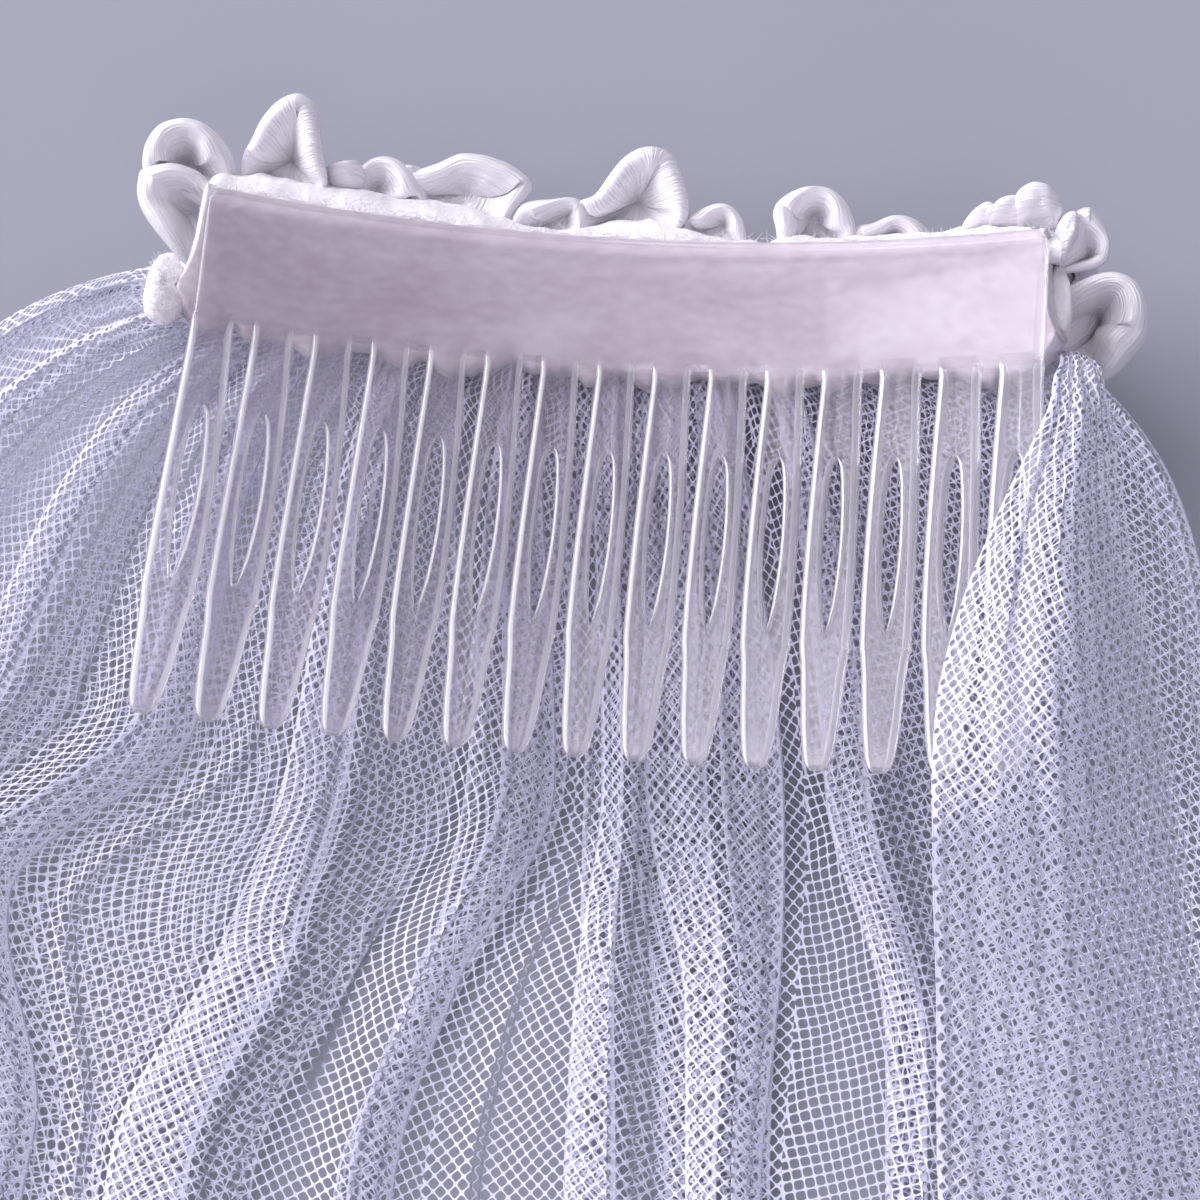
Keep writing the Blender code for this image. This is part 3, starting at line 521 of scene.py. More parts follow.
def draw_comb():
    data = bmesh.new()
    rows = spine_rows(data)
    across = COLUMNS * TOOTH_COUNT
    for upper, lower in zip(rows, rows[1:]):
        skin(data, upper, lower, range(across - 1))
    end_wall(data, rows[0], range(across - 1))
    end_wall(data, rows[-1], range(COLUMNS - 1, across - 1, COLUMNS))
    for column in (0, across - 1):
        side_wall(data, rows, column, 0)
    for index, centre in enumerate(tooth_centres()):
        draw_tooth(data, centre, rows[-1], COLUMNS * index)
    bmesh.ops.recalc_face_normals(data, faces=data.faces)
    mesh = bpy.data.meshes.new("clear_comb")
    data.to_mesh(mesh)
    data.free()
    flat = (np.array([vertex.co for vertex in mesh.vertices]) / MM - shift - COMB_PLACE) @ COMB_TURN
    down = np.clip(-flat[:, 1] / TOOTH_LENGTH, 0, 1)
    frost = np.where(down < 0.01, 0.0, 0.5) + 0.5 * np.clip((down - FROST_FROM) / FROST_OVER, 0, 1)
    mesh.attributes.new("frost", "FLOAT", "POINT").data.foreach_set("value", frost.astype(np.float32))
    mesh.materials.append(plastic)
    # The second finish is the painted highlight on the rounded edges of the teeth.
    mesh.materials.append(edge_painted_highlight)
    mesh.shade_smooth()
    mesh.set_sharp_from_angle(angle=math.radians(SHARP_ANGLE))
    comb = bpy.data.objects.new("clear_comb", mesh)
    bpy.context.scene.collection.objects.link(comb)
    return comb


comb = draw_comb()
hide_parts("comb")
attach(comb, "root")
print("comb faces:", len(comb.data.polygons))


# %% [markdown]
# ## The fan of the cloth
# The cloth leaves the heading behind the comb along one line, and its lines turn down to the hem: the
# left ones start almost sideways, the right ones start at half a turn. Rows run across these lines. Every
# fold is placed on the fan by a share of its width, from -1 at the left edge to 1 at the right one.

# %% Lay out the fan
WALL, SEAM_GAP, VEIL_LENGTH, LEFT_WRAP, FLOW_STEP = 1.0, 0.3, 450.0, 5.8, 2.5
HEADING_THICK, HEADING_LOW, HEADING_HIGH, HEADING_OVERHANG, HEADING_CORNER = 3.4, 0.8, 14.0, 1.6, 3.0
HEADING_FACE = -SPINE_THICK / 2 - SEAM_GAP
# How the lines run, in degrees from straight down: at the heading, and at the hem.
RUN_LEFT, RUN_MIDDLE, RUN_RIGHT = (-79.0, -12.0), (-4.0, 0.0), (47.0, 7.0)
# How many millimetres they take to turn, and how far the slope off the heading reaches.
TURN_LEFT, TURN_MIDDLE, TURN_RIGHT, RUN_POWER, SIDE_POWER = 32.0, 42.0, 14.0, 1.5, 1.15
FALL_LEFT, FALL_MIDDLE, FALL_RIGHT = 92.0, 46.0, 74.0
ACROSS = np.linspace(-1, 1, 321)
DOWN = np.arange(0, VEIL_LENGTH + FLOW_STEP / 2, FLOW_STEP)


def heading_edge():
    """Where the cloth starts: down the heading's left end, round its corner and along its lower edge."""
    reach = COMB_WIDTH / 2 + HEADING_OVERHANG + SEAM_GAP + WALL / 2
    low, turn = HEADING_LOW - 2 * SEAM_GAP - 0.1, HEADING_CORNER + SEAM_GAP + WALL / 2
    angle = np.radians(np.arange(180, 271, 15))
    corner = np.stack((turn - reach + turn * np.cos(angle), low + turn + turn * np.sin(angle)), 1)
    return np.vstack(((-reach, low + LEFT_WRAP), corner, (reach, low)))


def lay_fan():
    """Follows each line of the cloth step by step, from the heading to the hem."""
    path = heading_edge()
    run = distance_along(path)
    here = (ACROSS + 1) / 2 * run[-1]
    x, y = (np.interp(here, run, path[:, k]) for k in (0, 1))
    start = lay_comb(bend_to_arch(x, y, HEADING_FACE - HEADING_THICK - 0.1))
    share = np.abs(ACROSS)[:, None] ** SIDE_POWER

    def to_side(middle, left, right):
        return middle + (np.where(ACROSS[:, None] < 0, left, right) - middle) * share

    first, last = (to_side(*values) for values in zip(RUN_MIDDLE, RUN_LEFT, RUN_RIGHT))
    length = to_side(TURN_MIDDLE, TURN_LEFT, TURN_RIGHT)
    angle = np.radians(last + (first - last) * np.exp(-((DOWN / length) ** RUN_POWER)))
    steps = [(wave[:, 1:] + wave[:, :-1]) / 2 * FLOW_STEP for wave in (np.sin(angle), np.cos(angle))]
    none = np.zeros((len(ACROSS), 1))
    x = start[:, :1] + np.hstack((none, np.cumsum(steps[0], 1)))
    y = start[:, 1:2] - np.hstack((none, np.cumsum(steps[1], 1)))
    return x, y, start[:, 2]


FAN_X, FAN_Y, START_Z = lay_fan()
print("hem runs from x", FAN_X[0, -1].round(1), "to", FAN_X[-1, -1].round(1), "mm")


# %% Heights: the slope off the heading, gathers near it, and slow waves further down
FINE_REACH, WIDE_FROM, WIDE_REACH, WAVES_FROM = 22, 12, 52, 90
FINE_HEIGHT, WIDE_HEIGHT, WAVE_HEIGHT = 0.4, 0.42, 0.9


def slope_height(across, down):
    """The cloth slopes from the heading's height down to the table."""
    start = np.interp(across, ACROSS, START_Z)
    left, right = np.clip(-across, 0, 1), np.clip(across, 0, 1)
    reach = FALL_MIDDLE + (FALL_LEFT - FALL_MIDDLE) * left + (FALL_RIGHT - FALL_MIDDLE) * right
    fall = 0.5 * (1 + np.cos(np.pi * np.clip(down / reach, 0, 1)))
    return WALL / 2 + (start - WALL / 2) * fall


def gathers(across, down):
    """Soft uneven folds: fine ones at the comb, wider ones a few centimetres below."""
    spot = np.stack(np.broadcast_arrays(across * 45, down / 9, 0 * across), -1)
    fine = 1.5 * ruffle(spot, 0.8, 5)
    wide = 1.4 * ruffle(spot, 1.9, 6)
    near = np.exp(-((down / FINE_REACH) ** 1.5))
    middle = np.exp(-((down / WIDE_REACH) ** 2)) * (1 - np.exp(-down / WIDE_FROM))
    return FINE_HEIGHT * near * fine + WIDE_HEIGHT * middle * wide


def slow_waves(across, down):
    """Two long waves that grow as the gathers fade."""
    one = np.sin(2 * np.pi * (3.1 * across + down / 310) + 0.6)
    two = np.sin(2 * np.pi * (1.7 * across - down / 190) + 2.0)
    grown = 1 - np.exp(-((down / WAVES_FROM) ** 2))
    return grown * (1.0 + 0.62 * one + 0.38 * two) * WAVE_HEIGHT


def lie(across, down):
    return slope_height(across, down) + gathers(across, down) + slow_waves(across, down)


print("the cloth starts", START_Z.min().round(1), "to", START_Z.max().round(1), "mm over the table")


# %% [markdown]
# ## Folds
# A pleat is three layers of cloth one over another, with a crisp edge on one side. A box pleat has one on
# both sides, and an edge fold turns the raw side under. A table says where each fold's edge lies on the
# fan and how wide its top layer is, at five distances down. Between them the folds drift, as real ones do.

# %% The folds from left to right
# Each place and width is given at these distances down from the heading, in millimetres.
STATIONS = (0.0, 40.0, 60.0, 80.0, 450.0)
RIDGE_RISE = (0.0, 0.15, 0.20, 0.24, 0.45)
LEVEL_AT_COMB, LEVEL_AT_HEM = 1.3, 2.4
LAYER_GAP, SWELL = 0.26, 0.85
LEFT_FOLDS = (
    # kind, place on the fan, width in millimetres
    ("edge_left", (-1.0, -1.0, -1.0, -1.0, -1.0), (1.6, 3.0, 3.0, 4.0, 9.0)),
    ("left", (-0.90, -0.90, -0.915, -0.90, -0.88), (3.4, 6.0, 6.0, 7.0, 12.0)),
    ("left", (-0.78, -0.73, -0.82, -0.78, -0.76), (3.4, 6.5, 6.5, 7.0, 12.0)),
    ("right", (-0.57, -0.46, -0.61, -0.53, -0.52), (4.2, 8.0, 7.5, 8.0, 14.0)),
)
BROAD_PLEAT = (-0.44, -0.35, -0.385, -0.455, -0.38)
MIDDLE_LEFT_FOLDS = (
    ("ridge", (-0.497, -0.40, -0.549, -0.486, -0.456), (2.0, 3.0, 3.0, 2.4, 9.0)),
    ("left", BROAD_PLEAT, (4.0, 8.5, 10.0, 11.0, 14.0)),
    ("right", (-0.11, -0.03, -0.13, -0.18, -0.10), (4.2, 7.5, 6.2, 6.0, 12.0)),
)
MIDDLE_FOLDS = (
    ("ridge", (-0.048, 0.019, -0.07, -0.11, -0.03), (0.8, 0.8, 2.0, 3.0, 8.0)),
    ("left", (-0.015, 0.035, 0.0, -0.01, 0.02), (4.0, 3.3, 5.5, 7.0, 12.0)),
    ("box", (0.09, 0.098, 0.145, 0.14, 0.16), (9.0, 13.5, 9.0, 7.0, 12.0)),
)
RIGHT_FOLDS = (
    ("left", (0.36, 0.35, 0.40, 0.38, 0.36), (4.0, 6.0, 5.5, 5.5, 12.0)),
    ("edge_right", (1.0, 1.0, 1.0, 1.0, 1.0), (1.6, 3.0, 3.0, 4.0, 9.0)),
)
LEFT_SEAM = (-0.538, -0.435, -0.584, -0.51, -0.50)
MIDDLE_LEFT_SEAM = (-0.076, -0.003, -0.104, -0.155, -0.078)
MIDDLE_SEAM = (0.305, 0.323, 0.287, 0.254, 0.27)
STRETCHES = (
    ("tulle_left", LEFT_FOLDS, None, LEFT_SEAM),
    ("tulle_middle_left", MIDDLE_LEFT_FOLDS, LEFT_SEAM, MIDDLE_LEFT_SEAM),
    ("tulle_middle", MIDDLE_FOLDS, MIDDLE_LEFT_SEAM, MIDDLE_SEAM),
    ("tulle_right", RIGHT_FOLDS, MIDDLE_SEAM, None),
)
cloth_rows = np.concatenate((np.arange(0, 60, 1.25), np.arange(60, 120, 2.5), np.arange(120, 450, 6.0), (450.0,)))


def station(values, down):
    return float(smooth_through(STATIONS, values, down))


def fold_points(kind, at, wide, level, high):
    """One fold as (place, height) pairs, in the order of the cloth: its layers lie close on a soft swell."""
    if kind == "ridge":
        shares = ((-0.5, 0), (-0.25, 0.7), (0, 1), (0.25, 0.7), (0.5, 0))
        return [(at + share * wide, rise * high) for share, rise in shares]
    far = wide + (1.2 if kind.startswith("edge") else 2.0)
    tuck = min(0.72 * wide, wide - 1.0)
    if kind == "box":
        far, tuck = wide, 0.5 * wide - 0.6

    def on_swell(place, layer):
        share = min(max(place / far, 0), 1)
        return place, SWELL * level * math.sin(math.pi * share) ** 0.8 + layer * LAYER_GAP

    def turned(place, layer, way):
        """A fold's edge: the cloth runs out on one layer and comes back on the next."""
        back = place - 0.25 * way
        return [on_swell(back, layer), on_swell(place, layer + 0.5), on_swell(back, layer + 1)]

    if kind.startswith("edge"):
        places = [on_swell(tuck, 0), on_swell(0.5 * tuck, 0)] + turned(0, 0, -1)
        places += [on_swell(0.5 * far, 1), on_swell(0.8 * far, 0.6), (far, 0)]
    else:
        places = [on_swell(0.5 * tuck, 0)] + turned(tuck, 0, 1) + [on_swell(0.5 * tuck, 1)] + turned(0, 1, -1)
    if kind == "box":
        places += [on_swell(0.3 * far, 2), on_swell(0.5 * far, 2.2), on_swell(0.7 * far, 2)] + turned(far, 1, 1)[::-1]
        places += [on_swell(far - 0.5 * tuck, 1)] + turned(far - tuck, 0, -1)[::-1]
        places += [on_swell(far - 0.5 * tuck, 0), (far, 0)]
    elif kind in ("left", "right"):
        places += [on_swell(0.3 * far, 2), on_swell(0.6 * far, 1.9), on_swell(0.85 * far, 1.2), (far, 0)]
    if kind in ("right", "edge_right"):
        places = [(-place, up) for place, up in reversed(places)]
    return [(at + place, up) for place, up in places]


print("folds:", sum(len(folds) for _, folds, _, _ in STRETCHES), "in", len(STRETCHES), "stretches")


# %% One row of a stretch: its corners, then a soft curve through them
CORNER_CUT, CORNER_STEPS, LEAST_HEIGHT = 2.2, 4, 0.08


def row_on_fan(down):
    """The fan's places at one distance down, and how far each lies along that row."""
    spot = min(down / FLOW_STEP, len(DOWN) - 1.0001)
    i, part = int(spot), spot - int(spot)
    x = FAN_X[:, i] * (1 - part) + FAN_X[:, i + 1] * part
    y = FAN_Y[:, i] * (1 - part) + FAN_Y[:, i + 1] * part
    return x, y, distance_along(np.stack((x, y), 1))


def places_on_row(values, down):
    """Where shares of the fan's width lie along one row, in millimetres from its left end."""
    run = row_on_fan(down)[2]
    return [np.interp(station(value, down), ACROSS, run) for value in values]


def stretch_corners(folds, left_end, right_end, down):
    """The corners of one row of a stretch, from its left seam over its folds to its right seam."""
    level = LEVEL_AT_COMB + (LEVEL_AT_HEM - LEVEL_AT_COMB) * down / VEIL_LENGTH
    points = []
    if left_end is not None:
        points.append((*places_on_row((left_end,), down), 0))
    edges = places_on_row([at for _, at, _ in folds], down)
    for (kind, _, wide), edge in zip(folds, edges):
        width = station(wide, down)
        points += fold_points(kind, edge, width, level, width * station(RIDGE_RISE, down))
    if right_end is not None:
        points.append((*places_on_row((right_end,), down), 0))
    return np.array(points, float)


def soften(corners, counts):
    """Points along the corners' line with each corner rounded; counts holds the steps on each straight."""
    steps = np.diff(corners, axis=0)
    lengths = np.hypot(*steps.T)
    cuts = np.minimum(CORNER_CUT, 0.5 * lengths)
    made = [corners[0]]
    for i in range(len(steps)):
        start = corners[i] if i == 0 else corners[i] + steps[i] / lengths[i] * cuts[i]
        end = corners[i + 1] if i == len(steps) - 1 else corners[i + 1] - steps[i] / lengths[i] * cuts[i]
        made += [start + (end - start) * k / counts[i] for k in range(1, counts[i] + 1)]
        if i < len(steps) - 1:
            after = corners[i + 1] + steps[i + 1] / lengths[i + 1] * cuts[i + 1]
            for k in range(1, CORNER_STEPS + 1):
                t = k / CORNER_STEPS
                made.append(end * (1 - t) ** 2 + corners[i + 1] * 2 * t * (1 - t) + after * t * t)
    return np.array(made)


def place_row(line, down, drop=0.0):
    """A softened line of one row, laid on the fan as points in space."""
    x, y, run = row_on_fan(down)
    along = np.clip(line[:, 0], 0, run[-1])
    across = np.interp(along, run, ACROSS)
    height = np.maximum(lie(across, down) + line[:, 1] - drop, LEAST_HEIGHT)
    return np.stack((np.interp(along, run, x), np.interp(along, run, y), height), 1)


print("corners across the left stretch:", len(stretch_corners(LEFT_FOLDS, None, LEFT_SEAM, 0.0)))


# %% [markdown]
# ## The cut of the net
# A flat cut is a rectangle, drawn up small at the heading. The map of the cut therefore packs its cells
# closer near the comb, as gathers do. It is turned by an angle, because net is seldom cut along its threads.
# At a sharp fold the threads crowd together and look whiter, so each point also carries a mark for that.

# %% Make the stretches
# For each stretch: how many degrees its threads are turned, and which share of its width the map starts from.
GRAINS = (28, 34, 45, 14)
ANCHORS = (1.0, 0.8, 0.3, 0.0)
PACKED, PACKED_REACH = 0.55, 38.0
FOLD_CROWD, GATHER_CROWD, GATHER_REACH = 0.75, 0.14, 12
LOOK_AHEAD, LOOK_WIDTH, TURN_STARTS = 0.5, 0.2, 0.15
STEP_NEAR, STEP_FAR, NEAR_ROW, FAR_ROW = 0.75, 2.2, 60.0, 450.0
sheets = []


def cut_map(rows_of_points, rows_down, anchor, grain):
    """The place in the flat cut of each point, from its distance along its row and down the cloth."""
    mapped = []
    for points, down in zip(rows_of_points, rows_down):
        along = distance_along(points)
        across = (along - along[-1] * anchor) * (1 + PACKED * math.exp(-((down / PACKED_REACH) ** 2)))
        u = across * math.cos(grain) - down * math.sin(grain)
        mapped.append(np.stack((u, across * math.sin(grain) + down * math.cos(grain)), 1))
    return np.concatenate(mapped)


def crowded(rows_of_points, rows_down):
    """How far the threads crowd together: at a sharp fold, and in the gathers at the comb."""
    marks = []
    for points, down in zip(rows_of_points, rows_down):
        run = distance_along(points)

        def spot(place):
            return np.stack([np.interp(place, run, points[:, k]) for k in (0, 1, 2)], 1)

        def way(place):
            step = spot(place + LOOK_WIDTH) - spot(place - LOOK_WIDTH)
            return step / (np.linalg.norm(step, axis=1)[:, None] + 1e-9)

        turn = 0.5 - 0.5 * np.sum(way(run - LOOK_AHEAD) * way(run + LOOK_AHEAD), axis=1)
        mark = FOLD_CROWD * (turn - TURN_STARTS) + GATHER_CROWD * math.exp(-down / GATHER_REACH)
        marks.append(np.clip(mark, 0, 1))
    return np.concatenate(marks)


def soft_rows(corners, drop=0.0):
    """The rows of a stretch: corners(down) gives a row's corners, and each straight has the same steps in all."""
    near, far = (np.hypot(*np.diff(corners(down), axis=0).T) for down in (NEAR_ROW, FAR_ROW))
    counts = [max(1, int(math.ceil(max(a / STEP_NEAR, b / STEP_FAR)))) for a, b in zip(near, far)]
    return [place_row(soften(corners(down), counts), down, drop) for down in cloth_rows]


def add_net(name, rows, rows_down, anchor, grain):
    """A piece of net through rows of points, with the map of its cut. It joins the list of sheets."""
    mapped = cut_map(rows, rows_down, anchor, math.radians(grain))
    faces = grid_faces(len(rows), len(rows[0]))
    piece = add_piece(name, np.concatenate(rows), faces, net, mapped, crowded(rows, rows_down))
    sheets.append(piece)
    print(name, len(faces), "faces,", round(cloth_area(piece), 4), "m2")
    return piece


for (name, folds, left_end, right_end), anchor, grain in zip(STRETCHES, ANCHORS, GRAINS):
    rows = soft_rows(lambda down: stretch_corners(folds, left_end, right_end, down))
    piece = add_net("net_" + name[6:], rows, cloth_rows, anchor, grain)
    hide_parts(name)


# %% [markdown]
# ## The layers that the pleats hide
# Gathered net lies two or three deep, and only the top layer is in the solids. Whole hidden pleats could be
# drawn, but little of them shows. So each hidden layer is a strip of the same net just under the top one. Its
# side edges are turned under, and its threads run another way, which makes the net look denser there.

# %% Hidden strips
UNDER_TURN, UNDER_THICK = 2.2, 0.16
UNDER_LAYERS = (
    # name, drop under the top layer, grain, left edge and right edge on the fan
    ("net_under_left", 0.30, 8, (-0.995,) * 5, BROAD_PLEAT),
    ("net_under_left_low", 0.40, 62, (-0.99, -0.98, -0.97, -0.96, -0.93), (-0.66, -0.60, -0.70, -0.64, -0.62)),
    ("net_under_middle_left", 0.30, 71, BROAD_PLEAT, (-0.25, -0.15, -0.235, -0.31, -0.28)),
    ("net_under_band", 0.30, 15, (-0.20, -0.15, -0.178, -0.242, -0.25), (0.02, -0.01, -0.122, -0.205, -0.19)),
    ("net_under_middle", 0.30, 20, (0.02, 0.0, 0.0, -0.015, 0.01), (0.30, 0.30, 0.27, 0.25, 0.27)),
    ("net_under_middle_low", 0.40, 77, (0.06, 0.07, 0.10, 0.11, 0.12), (0.29, 0.29, 0.26, 0.24, 0.25)),
    ("net_under_right", 0.30, 66, (0.36, 0.35, 0.41, 0.38, 0.36), (0.995,) * 5),
)


def under_corners(left, right, down):
    """The corners of one row of a hidden strip, with its side edges turned under."""
    low, high = places_on_row((left, right), down)
    turn = min(UNDER_TURN, 0.3 * (high - low))
    return np.array((
        (low + turn, -UNDER_THICK), (low, -UNDER_THICK / 2), (low + turn, 0),
        (high - turn, 0), (high, -UNDER_THICK / 2), (high - turn, -UNDER_THICK),
    ))


for name, drop, grain, left, right in UNDER_LAYERS:
    add_net(name, soft_rows(lambda down: under_corners(left, right, down), drop), cloth_rows, 0.5, grain)


# %% [markdown]
# ## The stretch folded back over the teeth
# At the right end the net comes round the corner of the spine to the upper side, and lies over the last
# teeth before it runs down beside the rest. Its rows are straight, and each has a folded left edge.

# %% The folded-back stretch
OVER_ROWS = np.array((
    # y, left x, right x, left z, crest z, right z
    (-2.0, 41.4, 43.8, 20.8, 20.8, 20.2),
    (-3.6, 41.1, 44.1, 23.2, 23.2, 22.4),
    (-5.0, 40.7, 44.4, 24.5, 24.5, 23.9),
    (-6.6, 39.9, 44.6, 25.2, 25.2, 24.9),
    (-9.5, 39.2, 44.9, 26.4, 26.4, 24.6),
    (-13.0, 37.6, 45.3, 26.6, 26.9, 24.2),
    (-20.0, 34.0, 46.2, 25.0, 26.8, 22.5),
    (-30.0, 29.8, 48.6, 23.8, 27.5, 18.5),
    (-39.0, 27.4, 50.2, 25.0, 28.5, 15.5),
    (-47.0, 26.8, 51.4, 24.4, 26.2, 12.5),
    (-53.0, 27.2, 52.4, 20.0, 21.6, 9.2),
    (-63.0, 28.0, 54.0, 12.8, 13.8, 6.2),
    (-80.0, 28.3, 55.5, 6.4, 6.2, 3.4),
    (-110.0, 33.0, 58.0, 4.9, 3.4, 2.3),
    (-140.0, 39.0, 60.5, 2.4, 2.4, 2.1),
    (-230.0, 47.0, 70.0, 2.1, 2.1, 2.1),
    (-340.0, 56.0, 80.5, 2.1, 2.1, 2.1),
    (-441.0, 64.0, 90.0, 2.1, 2.1, 2.1),
))
OVER_SECTION = np.array((
    # place across as a share of the width, layer, ridge height
    (0.960, 0.0, 0.0),
    (0.700, 0.0, 0.3),
    (0.400, 0.0, 0.0),
    (0.120, 0.0, 0.0),
    (0.012, 0.0, 0.0),
    (0.000, 0.5, 0.0),
    (0.012, 1.0, 0.0),
    (0.070, 1.2, 0.1),
    (0.180, 1.0, 0.5),
    (0.290, 1.0, 0.2),
    (0.400, 1.0, 0.1),
    (0.500, 1.0, 0.55),
    (0.600, 1.0, 0.3),
    (0.690, 1.0, 0.5),
    (0.780, 1.0, 0.2),
    (0.870, 1.0, 0.45),
    (0.950, 1.0, 0.1),
    (1.000, 1.0, 0.0),
))
OVER_CREST, OVER_GAP, OVER_REACH, OVER_GRAIN, RIDGE_HEIGHT = 0.42, 0.5, 95, 33, 0.45
over_rows = np.concatenate((np.arange(2.0, 60, 1.1), np.arange(60, 120, 2.5), np.arange(120, 441, 6.0), (441.0,)))
over_counts = [max(1, int(round(70 * step))) for step in np.abs(np.diff(OVER_SECTION[:, 0]))]


def over_row(down):
    """One row of the folded-back stretch: its width, crest and small ridges at that distance down."""
    stops, *columns = OVER_ROWS.T
    left, right, left_z, crest_z, right_z = (smooth_through(-stops, column, down) for column in columns)
    width = right - left
    soft = min(1.0, width / 40)
    corners = OVER_SECTION[:, :2] * (width, OVER_GAP)
    corners[:, 1] += soft * OVER_SECTION[:, 2]
    line = soften(corners, over_counts)
    share = np.clip(line[:, 0] / width, 0, 1)
    height = smooth_through((0, OVER_CREST, 1), (left_z, crest_z, right_z), share) + line[:, 1]
    spot = np.stack((share * (9 + 16 * math.exp(-down / 20)), np.full(len(share), down / 30), 0 * share), 1)
    fan = ruffle(spot, 0.9, 31) * math.exp(-((down / OVER_REACH) ** 2))
    height = height + RIDGE_HEIGHT * fan * np.clip((share - 0.05) / 0.1, 0, 1)
    return np.stack((left + line[:, 0], np.full(len(line), -down), height), 1)


over = add_net("net_right_over", [over_row(down) for down in over_rows], over_rows, 0.5, OVER_GRAIN)
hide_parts("tulle_right_over")


# %% [markdown]
# ## The heading
# Behind the spine the top of the net is bunched into tight gathers and glued. From above it shows through
# the clear spine as a soft white ground, and it stands a little above the spine as a felted line.

# %% Bunched heading
HEADING_STEPS, HEADING_AROUND = 460, 52
GLUE_DOWN, END_SHOWS, END_HIGH, RIGHT_SHOWS = 1.5, 1.55, 11.0, 0.7
UPPER_ROUGH, LOWER_ROUGH, HEADING_CREASE = 0.35, 0.2, 0.3


def heading_ring(share):
    """The outline of the bunch at one place along it: a soft closed loop."""
    low_x, span = -COMB_WIDTH / 2 - HEADING_OVERHANG, COMB_WIDTH + HEADING_OVERHANG + RIGHT_SHOWS
    x = low_x + span * share
    inside = min(x - low_x, low_x + span - x, HEADING_CORNER)
    lift = HEADING_CORNER - math.sqrt(HEADING_CORNER**2 - (HEADING_CORNER - inside) ** 2)
    turn = 2 * np.pi * np.arange(HEADING_AROUND) / HEADING_AROUND
    across = np.sign(np.cos(turn)) * np.abs(np.cos(turn)) ** 0.32
    deep = np.sign(np.sin(turn)) * np.abs(np.sin(turn)) ** 0.5
    here = (x, 0.0, 0.0)
    glue = GLUE_DOWN * (1 + 0.5 * float(ruffle(here, 2.6, 24)) + 0.3 * float(ruffle(here, 1.0, 25)))
    low = HEADING_LOW + lift - glue * min(1.0, inside / HEADING_CORNER)
    high = HEADING_HIGH - END_HIGH * max(0.0, 1 - inside / END_SHOWS) ** 0.35
    y = (low + high) / 2 + (high - low) / 2 * across
    z = HEADING_FACE - HEADING_THICK / 2 + HEADING_THICK / 2 * deep
    spot = np.stack((np.full(HEADING_AROUND, x), y, z), 1)
    creases = ruffle(spot * (1, 0.28, 0.6) + (0, 0.5 * x, 0), 0.9, 21) + 0.7 * ruffle(spot, 2.4, 22)
    y = y + np.where(across > 0, UPPER_ROUGH, LOWER_ROUGH) * np.abs(across) ** 6 * ruffle(spot, 1.3, 23)
    z = z + HEADING_CREASE * np.minimum(deep, 0) ** 2 * (0.9 + creases)
    return bend_to_arch(np.full(HEADING_AROUND, x), y, z)


rings = [lay_comb(heading_ring(share)) for share in np.linspace(0, 1, HEADING_STEPS)]
heading = add_tube("bunched_heading", rings, glued)
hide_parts("gathered_heading")
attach(heading, "root")
print("heading rings:", len(rings))


# %% [markdown]
# ## Loose fibres
# Cut net and dried glue leave short ends of thread that stand out of the bunch. A hair system could grow
# them, but a plain mesh is simpler to pass on. So thin bent threads are strewn at random places.

# %% Loose fibres along the heading's upper edge
THIRDS, FIBRE_COUNT, FIBRE_SPAN = (0, 2.094, 4.189), 1500, 40.8
FIBRE_THICK, HAIR_THICK = 0.035, 0.03


def add_fibres(name, roots, leans, lengths, thick, material):
    """Short hairs, each a bent three-sided thread."""
    points, faces = [], []
    for root, lean, length in zip(roots, leans, lengths):
        lean = lean / np.linalg.norm(lean)
        side = np.cross(lean, (0.3, 0.2, 1.0))
        side /= np.linalg.norm(side)
        up = np.cross(side, lean)
        first = len(points)
        bend = rng.normal(0, 0.25, 3)
        for k in range(4):
            t = k / 3
            middle = root + lean * length * t + bend * length * t * t
            for turn in THIRDS:
                points.append(middle + thick * (1 - 0.7 * t) * (side * math.cos(turn) + up * math.sin(turn)))
        for k, m in np.ndindex(3, 3):
            here, beside = first + 3 * k + m, first + 3 * k + (m + 1) % 3
            faces.append((here, beside, beside + 3, here + 3))
    return add_piece(name, np.array(points), faces, material)


count = FIBRE_COUNT
place = rng.uniform(-FIBRE_SPAN, FIBRE_SPAN, count)
flat = bend_to_arch(place, rng.uniform(12.9, 14.2, count), HEADING_FACE - rng.uniform(0.1, 2.6, count))
roots = lay_comb(flat)
leans = np.stack((rng.normal(0, 0.9, count), rng.uniform(0.1, 1.0, count), rng.normal(0.1, 0.45, count)), 1)
fibres = add_fibres("heading_fibres", roots, leans, rng.uniform(0.4, 1.3, count), FIBRE_THICK, bunched)
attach(fibres, "root")
print("fibres:", count)


# %% [markdown]
# ## Ribbon rosettes
# Each rosette is satin ribbon looped into petals round a bud. A petal here is a small bowl of ribbon: its
# lip follows a curve in space and its floor is one point. The ribbon turns over in a broad soft roll at the
# lip, and small creases run in from it to the floor. The ribs of the satin run round the loop, or out along
# it, so each bowl says which. A loop too small to show its inside is a puffed knob, a soft dome.

